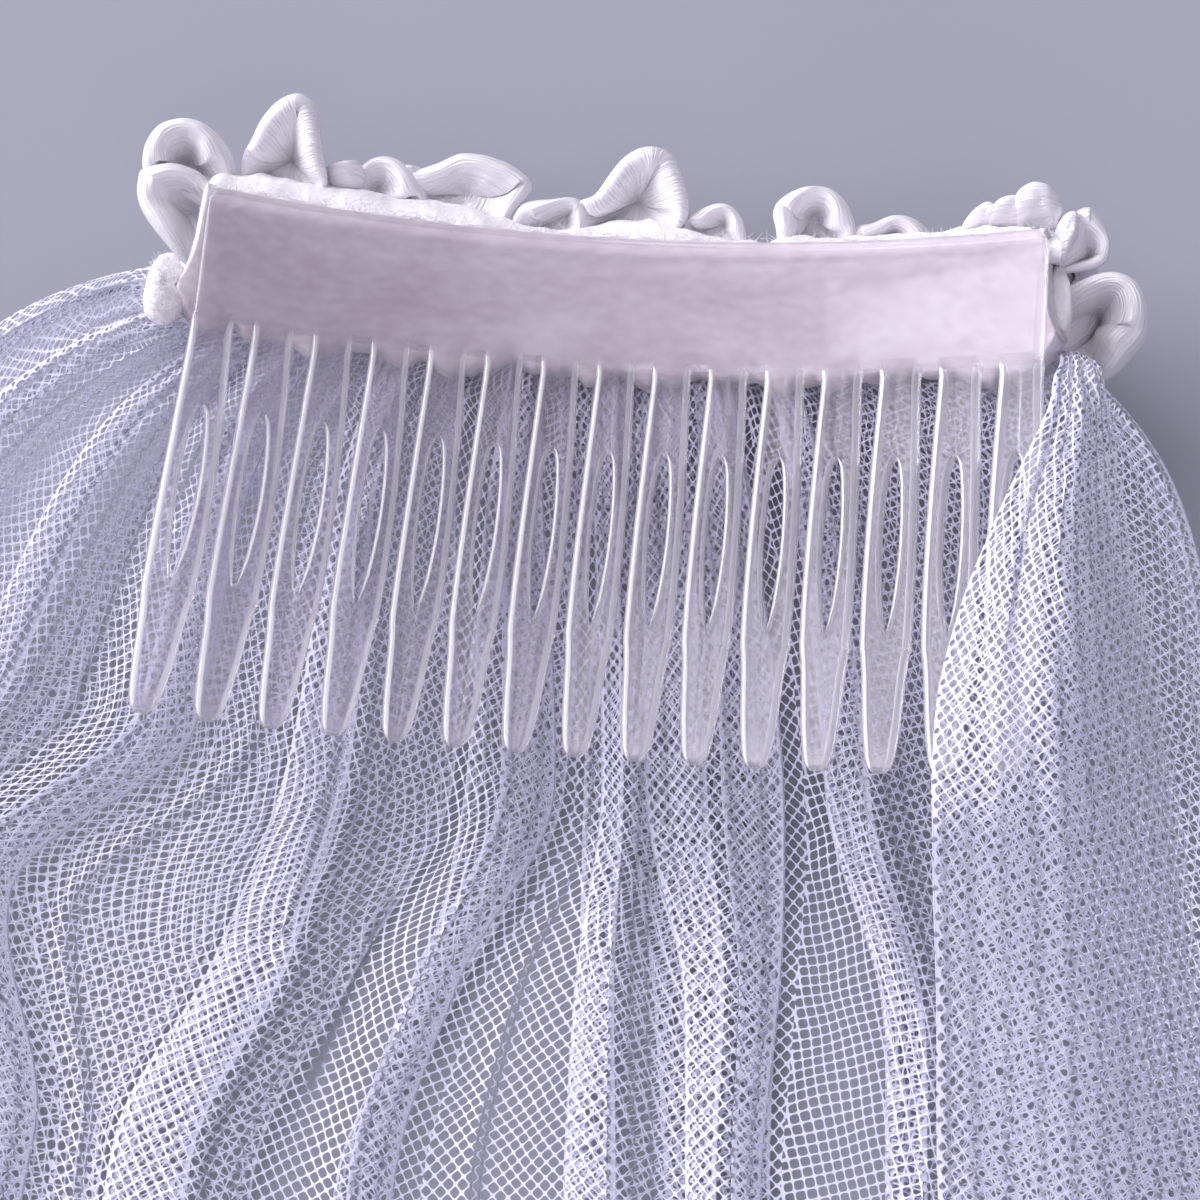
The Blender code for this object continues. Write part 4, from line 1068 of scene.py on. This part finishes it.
# %% Where the petals' lips run
LOOPS = (
    # rosette, way the ribs run, radius of the lip, floor, points of the lip
    ("rosette_1", "round", 0.85, (-43.9, 24.9, 10.0), (
        (-47.9, 22.8, 13.2), (-47.9, 24.6, 14.2), (-46.9, 26.3, 14.8), (-45.2, 27.4, 15.0), (-43.2, 27.6, 15.0),
        (-41.4, 27.0, 14.8), (-39.8, 25.8, 14.3), (-38.9, 24.4, 13.2), (-39.8, 23.2, 11.0), (-42.2, 22.4, 10.6),
        (-45.4, 22.1, 12.2),
    )),
    ("rosette_1", "round", 0.70, (-43.6, 19.6, 8.4), (
        (-47.9, 22.9, 13.6), (-48.4, 21.4, 13.6), (-48.3, 19.7, 13.4), (-47.6, 18.0, 12.8), (-46.1, 16.0, 12.0),
        (-44.4, 14.4, 10.5), (-42.9, 15.6, 9.5), (-42.0, 18.0, 9.5), (-41.4, 20.5, 10.5), (-41.8, 22.6, 12.4),
        (-44.8, 23.4, 13.6),
    )),
    ("rosette_1", "along", 0.55, (-33.2, 25.2, 10.2), (
        (-38.0, 25.2, 12.5), (-37.1, 26.0, 13.8), (-35.9, 27.9, 14.8), (-34.4, 29.5, 15.4), (-32.4, 30.3, 15.6),
        (-30.8, 29.6, 15.4), (-30.1, 27.9, 15.0), (-29.8, 26.1, 14.4), (-29.5, 24.2, 13.4), (-29.4, 22.9, 11.5),
        (-31.2, 22.2, 10.3), (-33.9, 22.4, 10.4), (-36.3, 22.9, 10.5), (-38.1, 23.9, 11.0),
    )),
    ("rosette_1", "round", 0.40, (-27.9, 23.5, 9.6), (
        (-29.7, 23.9, 10.5), (-28.8, 24.3, 11.0), (-27.5, 24.3, 11.2), (-26.1, 24.3, 11.0), (-25.6, 23.2, 10.0),
        (-26.7, 21.9, 9.5), (-29.1, 22.2, 9.5),
    )),
    ("rosette_2", "round", 0.75, (-24.6, 23.0, 7.6), (
        (-27.2, 21.8, 9.5), (-26.8, 23.9, 10.2), (-25.4, 25.3, 10.6), (-23.6, 25.7, 10.8), (-21.8, 25.0, 10.9),
        (-20.2, 23.4, 10.7), (-19.2, 21.6, 9.8), (-20.6, 20.9, 8.8), (-22.8, 20.9, 8.4), (-25.6, 21.0, 8.4),
    )),
    ("rosette_2", "round", 0.60, (-15.4, 22.4, 7.8), (
        (-22.2, 24.9, 10.6), (-20.4, 24.7, 10.4), (-18.2, 25.3, 10.6), (-15.8, 26.0, 11.0), (-13.2, 25.8, 11.0),
        (-10.8, 25.0, 10.8), (-9.0, 23.7, 10.5), (-8.6, 22.6, 10.2), (-10.2, 20.8, 9.6), (-12.6, 19.2, 8.6),
        (-16.5, 19.6, 8.4), (-19.8, 20.8, 8.8), (-21.6, 22.6, 9.8),
    )),
    ("rosette_3", "round", 0.45, (-5.2, 20.3, 6.8), (
        (-10.7, 18.7, 8.6), (-10.3, 20.2, 9.4), (-8.9, 21.1, 9.8), (-6.4, 21.1, 9.9), (-4.0, 21.2, 9.8),
        (-3.0, 20.2, 9.4), (-3.5, 18.5, 8.4), (-5.7, 17.9, 7.8), (-8.9, 18.4, 7.8),
    )),
    ("rosette_3", "along", 0.60, (2.2, 21.8, 7.2), (
        (-4.0, 21.4, 9.6), (-2.2, 22.0, 10.2), (-0.7, 23.6, 11.0), (0.7, 25.1, 11.6), (2.5, 26.3, 11.8),
        (4.4, 26.4, 11.8), (6.0, 25.5, 11.5), (7.0, 23.3, 11.0), (7.5, 21.2, 10.4), (7.1, 19.6, 9.4),
        (4.8, 18.9, 8.3), (0.8, 18.7, 8.0), (-3.0, 19.6, 8.2),
    )),
    ("rosette_3", "round", 0.45, (11.0, 19.3, 6.6), (
        (6.7, 19.7, 8.4), (8.4, 20.3, 9.2), (10.3, 20.7, 9.6), (12.1, 20.2, 9.6), (13.2, 18.6, 9.2),
        (13.0, 17.2, 8.2), (10.4, 17.2, 7.6), (8.0, 17.9, 7.6),
    )),
    ("rosette_4", "round", 0.80, (20.4, 19.7, 7.8), (
        (16.8, 16.7, 9.2), (16.3, 18.1, 10.6), (16.0, 19.4, 11.6), (17.0, 20.3, 12.2), (19.1, 21.0, 12.5),
        (21.5, 20.9, 12.5), (23.0, 20.0, 12.2), (24.0, 18.7, 11.6), (24.4, 17.4, 10.4), (23.2, 16.7, 9.2),
        (20.0, 16.5, 9.0),
    )),
    ("rosette_4", "round", 0.60, (28.2, 17.2, 9.4), (
        (23.6, 16.6, 9.0), (24.3, 17.9, 10.4), (26.2, 18.0, 10.8), (28.2, 18.5, 11.1), (30.2, 18.3, 11.0),
        (31.9, 17.5, 10.4), (32.5, 16.6, 9.4), (28.0, 16.0, 9.0),
    )),
    ("rosette_5", "round", 0.90, (36.1, 14.3, 17.0), (
        (34.2, 14.3, 15.5), (34.8, 15.3, 16.6), (35.9, 16.0, 17.2), (36.8, 16.0, 17.4), (37.5, 15.0, 17.2),
        (37.7, 14.2, 15.8), (36.1, 14.1, 15.0),
    )),
    ("rosette_5", "round", 0.90, (38.5, 14.6, 17.6), (
        (36.7, 14.2, 15.8), (36.7, 15.2, 17.4), (37.5, 16.1, 18.0), (38.9, 16.4, 18.2), (40.2, 16.2, 18.0),
        (40.4, 14.9, 17.4), (40.3, 14.0, 16.0), (38.5, 14.0, 15.5),
    )),
    ("rosette_5", "round", 0.90, (41.1, 14.9, 18.2), (
        (39.4, 14.0, 16.0), (38.9, 15.2, 18.0), (39.2, 16.5, 18.8), (40.5, 17.2, 19.2), (41.9, 17.0, 19.2),
        (43.1, 16.2, 18.8), (43.7, 15.0, 18.0), (43.3, 13.8, 17.0), (42.0, 13.7, 16.0), (40.6, 13.8, 15.8),
    )),
    ("rosette_5", "round", 0.50, (44.0, 12.0, 16.2), (
        (42.8, 11.7, 15.5), (43.1, 13.5, 17.0), (43.8, 14.3, 18.2), (44.9, 14.3, 18.4), (44.9, 12.6, 18.0),
        (44.2, 10.9, 17.0), (43.5, 9.4, 15.5), (42.8, 9.7, 15.0),
    )),
    ("rosette_5", "round", 0.45, (46.6, 11.4, 16.0), (
        (44.5, 14.2, 18.4), (45.3, 15.1, 18.8), (46.5, 15.2, 18.8), (47.1, 14.2, 18.6), (48.0, 12.8, 18.2),
        (48.5, 11.3, 17.8), (48.5, 10.1, 17.2), (47.8, 9.5, 16.6), (46.0, 9.3, 16.0), (44.2, 9.1, 15.0),
        (43.8, 10.1, 15.8), (44.5, 12.0, 17.6),
    )),
    ("rosette_5", "round", 1.00, (47.6, 6.0, 11.0), (
        (43.9, 7.9, 14.5), (45.3, 8.3, 16.4), (47.1, 8.7, 17.4), (48.8, 8.5, 18.0), (50.3, 7.5, 18.2),
        (51.1, 5.8, 18.2), (51.4, 4.0, 18.0), (51.2, 2.0, 17.6), (50.1, 0.4, 16.8), (49.0, -1.1, 15.6),
        (48.1, -1.7, 14.2), (46.3, 0.2, 13.2), (44.1, 3.1, 12.6), (42.7, 6.0, 12.8), (42.9, 7.5, 13.6),
    )),
)
BUDS = {
    # centre x, y, height of the petals over the table
    "rosette_1": (-37.0, 15.5, 11.5),
    "rosette_2": (-18.0, 15.5, 7.5),
    "rosette_3": (2.0, 15.0, 6.5),
    "rosette_4": (22.5, 13.0, 9.0),
    "rosette_5": (41.0, 9.0, 16.0),
}
LOWER_PETALS = (-160.0, -98.0, -36.0, 24.0, 92.0, 148.0)
LOWER_SHAPE = ((1.2, -0.30), (0.45, -0.50), (0.85, -0.42), (1.0, 0.0), (0.85, 0.42), (0.45, 0.50), (1.2, 0.30))
LOWER_REACH, LOWER_WIDTH, LOWER_DROP, BUD_LENGTH = 7.6, 8.6, 4.2, 7.5


print("loops that show:", len(LOOPS))


# %% One petal
LOOP_STEPS, BOWL_STEPS, LIP_STEPS, OUTSIDE_STEPS = 84, 16, 10, 7
SMALL_LOOP, KNOB_RISE, KNOB_TURN, KNOB_STEPS = 2.3, 0.8, 2.3, 24
KNOB_LUMPS, RIBBON_LUMPS, TABLE_GAP = 0.14, 0.1, 0.2
ROLL_START, ROLL_WIDTH, CREASE, BASE_UNDER = math.radians(128), 1.7, 0.2, 2.1


def closed_curve(points, count):
    """Points on a smooth closed curve through the given ones."""
    points = np.asarray(points, float)
    spot = np.linspace(0, len(points), count, endpoint=False)
    i, t = spot.astype(int), (spot % 1)[:, None]
    a, b, c, d = (points[(i + k) % len(points)] for k in (-1, 0, 1, 2))
    return 0.5 * (2 * b + (c - a) * t + (2 * a - 5 * b + 4 * c - d) * t**2 + (3 * b - a - 3 * c + d) * t**3)


def mean_reach(lip):
    return np.linalg.norm(lip[:, :2] - lip[:, :2].mean(0), axis=1).mean()


def close_grid(rows):
    """Rows of points as one array, with the first column again at the end."""
    grid = np.array(rows)
    return np.concatenate((grid, grid[:, :1]), 1)


def knob(lip):
    """A small puffed loop, which shows as a soft dome."""
    middle = lip.mean(0)
    rows = []
    for turn in np.linspace(0.02, KNOB_TURN, KNOB_STEPS):
        row = middle + (lip - middle) * math.sin(turn)
        row[:, 2] += KNOB_RISE * mean_reach(lip) * math.cos(turn)
        rows.append(row + KNOB_LUMPS * ruffle(row * (1, 1, 0.5), 1.1, 43)[:, None] * (0.5, 0.5, 1.0))
    grid = close_grid(rows)
    return grid.reshape(-1, 3), grid[:, :, :2].reshape(-1, 2), grid_faces(len(grid), LOOP_STEPS + 1)


def tuck_foot(lip):
    """Moves the low side of a lip in under the comb, where the ribbon is stitched."""
    middle = lip[:, :2].mean(0)
    way = np.array((np.clip(middle[0], -38, 38), min(middle[1], 12.0))) - middle
    low = 1 - (lip[:, 2] - lip[:, 2].min()) / (np.ptp(lip[:, 2]) + 1e-9)
    under = BASE_UNDER * (1.0 if abs(middle[0]) < 42.5 else 1.7)
    lip[:, :2] += under * (low**2)[:, None] * way / (np.linalg.norm(way) + 1e-9)


def outward(lip):
    """Level directions that point out of a closed lip."""
    ahead = np.roll(lip, -1, 0)[:, :2] - np.roll(lip, 1, 0)[:, :2]
    out = np.stack((ahead[:, 1], -ahead[:, 0]), 1)
    out /= np.linalg.norm(out, axis=1)[:, None] + 1e-9
    return out * np.sign(np.sum(out * (lip[:, :2] - lip[:, :2].mean(0)), axis=1).sum())


def inside_rows(floor, start, out, up, across):
    """Rows from the floor to where the roll begins: they leave the floor level and meet the roll smoothly."""
    length = np.linalg.norm(start - floor, axis=1)[:, None]
    leave = np.column_stack((start[:, :2] - floor[:2], np.zeros(LOOP_STEPS))) * 0.9
    arrive = np.column_stack((out * math.sin(ROLL_START), np.full(LOOP_STEPS, -up * math.cos(ROLL_START))))
    arrive = arrive * length * 1.1
    turn = 2 * np.pi * np.arange(LOOP_STEPS) / LOOP_STEPS
    crease = ruffle(np.column_stack((3 * np.cos(turn), 3 * np.sin(turn), 0 * turn)) + floor, 0.8, 42)
    rows = []
    for t in np.linspace(0, 1, BOWL_STEPS):
        row = floor * (1 - t) ** 2 * (1 + 2 * t) + leave * t * (1 - t) ** 2
        row = row + start * t**2 * (3 - 2 * t) - arrive * t**2 * (1 - t)
        row[:, 2] += CREASE * crease * min(1.0, across / 4) * math.sin(math.pi * t) ** 1.5
        rows.append(row)
    return rows


print("points round each petal:", LOOP_STEPS)


# %% A petal, from its floor to its outside
def petal(lip, floor, radius, ribs):
    """A bowl of ribbon with a round lip: rows run from the floor up the inside, over the lip and down the outside."""
    lip, floor = closed_curve(lip, LOOP_STEPS), np.array(floor)
    if mean_reach(lip) < SMALL_LOOP:
        return knob(lip)
    up = 1.0 if lip[:, 2].mean() > floor[2] else -1.0
    if up > 0:
        tuck_foot(lip)
    across = np.linalg.norm(lip[:, :2] - floor[:2], axis=1).mean()
    floor[2] += np.clip(1.15 - 0.12 * across, 0.5, 0.95) * (lip[:, 2].min() - floor[2])
    height = (lip[:, 2] - lip[:, 2].min()) / (np.ptp(lip[:, 2]) + 1e-9)
    reach = np.linalg.norm(lip[:, :2] - floor[:2], axis=1)
    radius = np.minimum(ROLL_WIDTH * radius * (0.2 + 1.2 * height), 0.3 * reach)
    out = outward(lip)

    def roll(angle):
        plan = lip[:, :2] + radius[:, None] * out * (math.cos(angle) - 1)
        return np.column_stack((plan, lip[:, 2] + up * radius * (math.sin(angle) - 1)))

    rows = inside_rows(floor, roll(ROLL_START), out, up, across)
    rows += [roll(angle) for angle in np.linspace(ROLL_START, 0, LIP_STEPS)[1:]]
    for angle in np.linspace(0, 1.25, OUTSIDE_STEPS)[1:]:
        plan = floor[:2] + (lip[:, :2] - floor[:2]) * math.cos(angle)
        low, high = floor[2] - up * 0.8, lip[:, 2] - up * radius
        rows.append(np.column_stack((plan, high + (low - high) * math.sin(angle) ** 1.1)))
    grid = close_grid(rows)
    round_way = distance_along(grid[BOWL_STEPS])
    up_way = np.concatenate(((0,), np.cumsum(np.linalg.norm(np.diff(grid, axis=0), axis=2).mean(1))))
    u, v = np.meshgrid(round_way, up_way)
    mapped = np.stack((u, v) if ribs == "round" else (v, u), 2)
    grid = grid + RIBBON_LUMPS * ruffle(grid, 1.6, 41)[:, :, None] * (0, 0, 1)
    grid[:, -1] = grid[:, 0]
    grid[:, :, 2] = np.maximum(grid[:, :, 2], TABLE_GAP)
    return grid.reshape(-1, 3), mapped.reshape(-1, 2), grid_faces(len(grid), LOOP_STEPS + 1)


_, ribs, radius, floor, lip = LOOPS[0]
print("faces in the first petal:", len(petal(lip, floor, radius, ribs)[2]))


# %% The petals that face the table, and the bud
BUD_TURNS, BUD_STEPS, BUD_ROWS, BUD_CORE, BUD_SPREAD = 2.6, 120, 16, 0.5, 2.7
LOWER_FLOOR, LOWER_DEEP, LOWER_ROLL = 3.2, 0.4, 0.35


def lower_petal(x, y, plane, toward):
    """A broad petal that hangs from the bud towards the table."""
    turn = math.radians(toward)
    lip = []
    for k, (share, side) in enumerate(LOWER_SHAPE):
        out = share if k in (0, 6) else share * LOWER_REACH
        wide = side * LOWER_WIDTH
        drop = LOWER_DROP * (0.35 if k in (0, 6) else 1.0)
        place = (x + out * math.cos(turn) - wide * math.sin(turn), y + out * math.sin(turn) + wide * math.cos(turn))
        lip.append((*place, plane - drop))
    floor = (x + LOWER_FLOOR * math.cos(turn), y + LOWER_FLOOR * math.sin(turn), plane - LOWER_DEEP)
    return petal(lip, floor, LOWER_ROLL, "round")


def bud(x, y, top, tip):
    """A ribbon rolled into a cone whose tip points to the table."""
    turns = np.linspace(0, 2 * np.pi * BUD_TURNS, BUD_STEPS)[:, None]
    t = np.linspace(0, 1, BUD_ROWS)[None, :]
    radius = (BUD_CORE + BUD_SPREAD * turns / turns[-1]) * (1 - 0.5 * t**2)
    z = top + (tip - top) * t * (1 - 0.3 * turns / turns[-1])
    grid = np.stack((x + radius * np.cos(turns), y + radius * np.sin(turns), z + 0 * radius), 2)
    mapped = np.stack((turns * 2.2 + 0 * t, 10.0 * t + 0 * turns), 2)
    return grid.reshape(-1, 3), mapped.reshape(-1, 2), grid_faces(BUD_STEPS, BUD_ROWS)


for name, (x, y, plane) in BUDS.items():
    made = [petal(lip, floor, radius, ribs) for owner, ribs, radius, floor, lip in LOOPS if owner == name]
    made += [lower_petal(x, y, plane, toward) for toward in LOWER_PETALS]
    made.append(bud(x, y, plane + 0.5, max(plane - BUD_LENGTH, 0.3)))
    starts = np.cumsum([0] + [len(points) for points, _, _ in made])
    faces = np.concatenate([faces + start for (_, _, faces), start in zip(made, starts)])
    points, mapped = (np.concatenate([part[k] for part in made]) for k in (0, 1))
    piece = add_piece("ribbon_" + name, points, faces, satin, mapped)
    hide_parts(name)
    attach(piece, "root")
    print(piece.name, len(made) - 1, "petals,", round(cloth_area(piece) * 1e4, 1), "cm2")


# %% [markdown]
# ## Felt, wads and fuzz
# Glue and loose net make a soft white band from the heading's upper edge out to the feet of the petals. It
# is a row of soft outlines, joined into one tube. At each end of the heading a small wad of bunched net
# sticks out: a lumpy ball is enough for it. Fine hairs on the felt and on the left wad make their outline
# soft, as wool has.

# %% The felt that joins the rosettes to the heading
PETAL_FEET = np.array((
    (-41.6, 21.6, 12.6), (-41.0, 22.2, 12.4), (-40.0, 22.6, 12.0), (-36.3, 23.1, 11.0), (-31.8, 22.5, 10.7),
    (-26.7, 22.2, 9.8), (-23.0, 21.8, 8.9), (-19.2, 21.3, 9.0), (-14.5, 20.3, 9.4), (-9.5, 18.9, 8.2),
    (-5.7, 18.3, 8.1), (-0.5, 19.1, 8.3), (3.5, 19.3, 8.7), (10.4, 17.5, 8.0), (14.0, 16.0, 8.4),
    (16.8, 16.9, 9.4), (20.0, 16.8, 9.3), (25.0, 16.8, 9.6), (29.2, 16.9, 9.6), (32.5, 16.0, 12.0),
    (36.0, 14.6, 15.4), (40.0, 14.3, 16.2), (42.5, 12.5, 16.0), (43.6, 8.0, 14.6),
))
FELT_LENGTH, FELT_AROUND, FELT_THICK, FELT_END = 300, 36, 2.6, 2.2
FELT_PAST, FELT_OVER, FELT_LOW = 1.08, 0.25, 0.3


def felt_ring(x):
    """One outline of the felt: a soft loop from the heading's edge to the feet of the petals."""
    near = lay_comb(bend_to_arch(np.clip(x, -40.2, 40.6), 12.2, HEADING_FACE - 0.5))
    foot = np.array([x] + [np.interp(x, PETAL_FEET[:, 0], PETAL_FEET[:, k]) for k in (1, 2)])
    along = foot - near
    length = np.linalg.norm(along)
    under = np.array((0.0, along[2], -along[1])) / length * np.sign(along[1])
    turn = 2 * np.pi * np.arange(FELT_AROUND) / FELT_AROUND
    reach = 0.5 - 0.5 * np.sign(np.cos(turn)) * np.abs(np.cos(turn)) ** 0.5
    deep = 0.5 - 0.5 * np.sign(np.sin(turn)) * np.abs(np.sin(turn)) ** 0.6
    points = near + along * (reach * FELT_PAST)[:, None] + under * (FELT_THICK * deep - FELT_OVER)[:, None]
    lumps = 0.25 * ruffle(points, 1.9, 51) + 0.1 * ruffle(points, 0.7, 52)
    frayed = 0.5 * ruffle(points, 1.4, 53) * reach
    points = points - under * (lumps * (1 - deep))[:, None] + along / length * frayed[:, None]
    inside = min(1.0, min(x - PETAL_FEET[0, 0], PETAL_FEET[-1, 0] - x) / FELT_END)
    middle = points.mean(0)
    points = middle + (points - middle) * max(0.03, math.sqrt(1 - (1 - inside) ** 2))
    points[:, 2] = np.maximum(points[:, 2], FELT_LOW)
    return points


rings = [felt_ring(x) for x in np.linspace(PETAL_FEET[0, 0], PETAL_FEET[-1, 0], FELT_LENGTH)]
felt = add_tube("glued_felt", rings, bunched)
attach(felt, "root")
print("felt rings:", len(rings))


# %% Wads of bunched net at the two ends of the heading
WADS = (
    # name, place on the heading and how far below it, half sizes
    ("wad_left", (-42.2, 3.0, 0.0), (2.0, 3.5, 1.7)),
    ("wad_right", (40.5, 8.0, 3.4), (1.25, 3.8, 3.0)),
)
WAD_RINGS, WAD_AROUND = 25, 72


def wad(name, middle, size):
    """A lumpy ball of net with a flat cap at each pole."""
    turn = np.linspace(0, 2 * np.pi, WAD_AROUND, endpoint=False)
    rings = []
    for lift in np.linspace(-np.pi / 2, np.pi / 2, WAD_RINGS):
        reach = max(math.cos(lift), 0.02) ** 0.8
        plan = np.stack((size[0] * reach * np.cos(turn), size[1] * reach * np.sin(turn)), 1)
        rings.append(np.column_stack((plan, np.full(WAD_AROUND, size[2] * math.sin(lift)))))
    ball = np.array(rings)
    lumps = 0.16 * ruffle((ball + middle) * (1, 0.35, 1), 1.3, 61) + 0.03 * ruffle(ball + middle, 0.5, 62)
    made = add_tube(name, ball * (1 + lumps[..., None]) + middle, bunched)
    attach(made, "root")
    return made


wads = []
for name, (x, y, low), size in WADS:
    wads.append(wad(name, lay_comb(bend_to_arch(x, y, HEADING_FACE - 2.2)) - (0, 0, low), size))
print("wads:", [made.name for made in wads])


# %% Fuzz on the felt and on the left wad
def fuzz(name, piece, count, longest):
    """Fine hairs that stand on a piece, at random points of its upper side."""
    at = np.array([vertex.co for vertex in piece.data.vertices]) / MM - shift
    lean = np.array([vertex.normal for vertex in piece.data.vertices])
    upper = np.flatnonzero(lean[:, 2] > -0.1)
    picked = rng.choice(upper, count)
    roots = at[picked] + rng.normal(0, 0.15, (count, 3)) - 0.05 * lean[picked]
    leans = lean[picked] * 0.5 + rng.normal(0, 0.6, (count, 3))
    hairs = add_fibres(name, roots, leans, rng.uniform(0.3, longest, count), HAIR_THICK, bunched)
    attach(hairs, "root")
    print(name, "has", count, "hairs")


fuzz("felt_fuzz", felt, 2400, 1.0)
fuzz("wad_left_fuzz", wads[0], 700, 0.5)


# %% [markdown]
# Every sheet of net joins the comb's root. The fall is one piece of net 0.45 m long, and each stretch
# has its share of the width. The measured area includes its folds, and it is less than the cut where the
# gathers at the comb take up width.

# %% Sheets of net join the root
for piece in sheets:
    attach(piece, "root")


# %% [markdown]
# ## The table, the light and the camera
# A plain pale table carries the veil. A large soft light stands beyond the comb to the left, and a weaker
# one fills from the near side. A low broad light from the left runs along the table: it is what the round
# edges of the clear teeth catch. The room adds an even glow, and the camera looks down at 70 degrees.

# %% Table
TABLE_SIZE, TABLE_AT = 6.0, -0.0002


def make_table_finish():
    material, tree, shader = start_material("pale_table")
    tint = between(tree, noise(tree, object_place(tree), 9.0, 3.0), (0.36, 0.36, 0.43), (0.40, 0.40, 0.47))
    set_shader(tree, shader, Base_Color=tint, Roughness=0.9, Specular_IOR_Level=0.2)
    return material


bpy.ops.mesh.primitive_plane_add(size=TABLE_SIZE, location=(0, 0, TABLE_AT))
table = bpy.context.object
table.name = "table"
table.data.materials.append(make_table_finish())
print("table at height", round(table.location.z, 4), "m")


# %% Lights
def area_light(name, place, target, size, power, colour):
    data = bpy.data.lights.new(name, "AREA")
    data.shape, data.size, data.energy, data.color = "DISK", size, power, colour
    light = bpy.data.objects.new(name, data)
    light.location = Vector(place)
    light.rotation_euler = (Vector(target) - Vector(place)).to_track_quat("-Z", "Y").to_euler()
    bpy.context.scene.collection.objects.link(light)


def sun_light(name, toward, angle, strength, colour):
    """A light from far away: it falls on the whole table evenly, and angle says how soft its shadows are."""
    data = bpy.data.lights.new(name, "SUN")
    data.angle, data.energy, data.color = math.radians(angle), strength, colour
    light = bpy.data.objects.new(name, data)
    light.rotation_euler = (-Vector(toward)).to_track_quat("-Z", "Y").to_euler()
    bpy.context.scene.collection.objects.link(light)


ROOM_COLOUR, ROOM_GLOW = (0.84, 0.83, 1.0, 1), 0.36
comb_middle = Vector(shift * MM)
area_light("key", comb_middle + Vector((-0.40, 0.55, 0.62)), comb_middle, 0.8, 5.0, (0.98, 0.97, 1.0))
sun_light("edge", (-0.90, 0.22, 0.27), 43.0, 3.5, (0.96, 0.96, 1.0))
area_light("front", comb_middle + Vector((0.15, -0.80, 0.60)), comb_middle, 0.8, 1.8, (0.97, 0.97, 1.0))
world = bpy.data.worlds.new("room")
world.use_nodes = True
world.node_tree.nodes["Background"].inputs[0].default_value = ROOM_COLOUR
world.node_tree.nodes["Background"].inputs[1].default_value = ROOM_GLOW
bpy.context.scene.world = world
bpy.context.scene.view_settings.view_transform = "Standard"
print("lights:", [light.name for light in bpy.data.lights])


# %% Camera
SENSOR, FOCAL_PIXELS, PICTURE_PIXELS, CAMERA_TILT = 36.0, 2289.9, 1200, 20
CAMERA_PLACE = (-1.604, -97.523, 215.539)
camera_data = bpy.data.cameras.new("camera")
camera_data.sensor_width = SENSOR
camera_data.lens = SENSOR * FOCAL_PIXELS / PICTURE_PIXELS
camera_data.clip_start = 0.01
camera = bpy.data.objects.new("camera", camera_data)
camera.location = Vector((shift + CAMERA_PLACE) * MM)
camera.rotation_euler = (math.radians(CAMERA_TILT), 0, 0)
bpy.context.scene.collection.objects.link(camera)
bpy.context.scene.camera = camera
print("camera at", [round(v, 4) for v in camera.location])
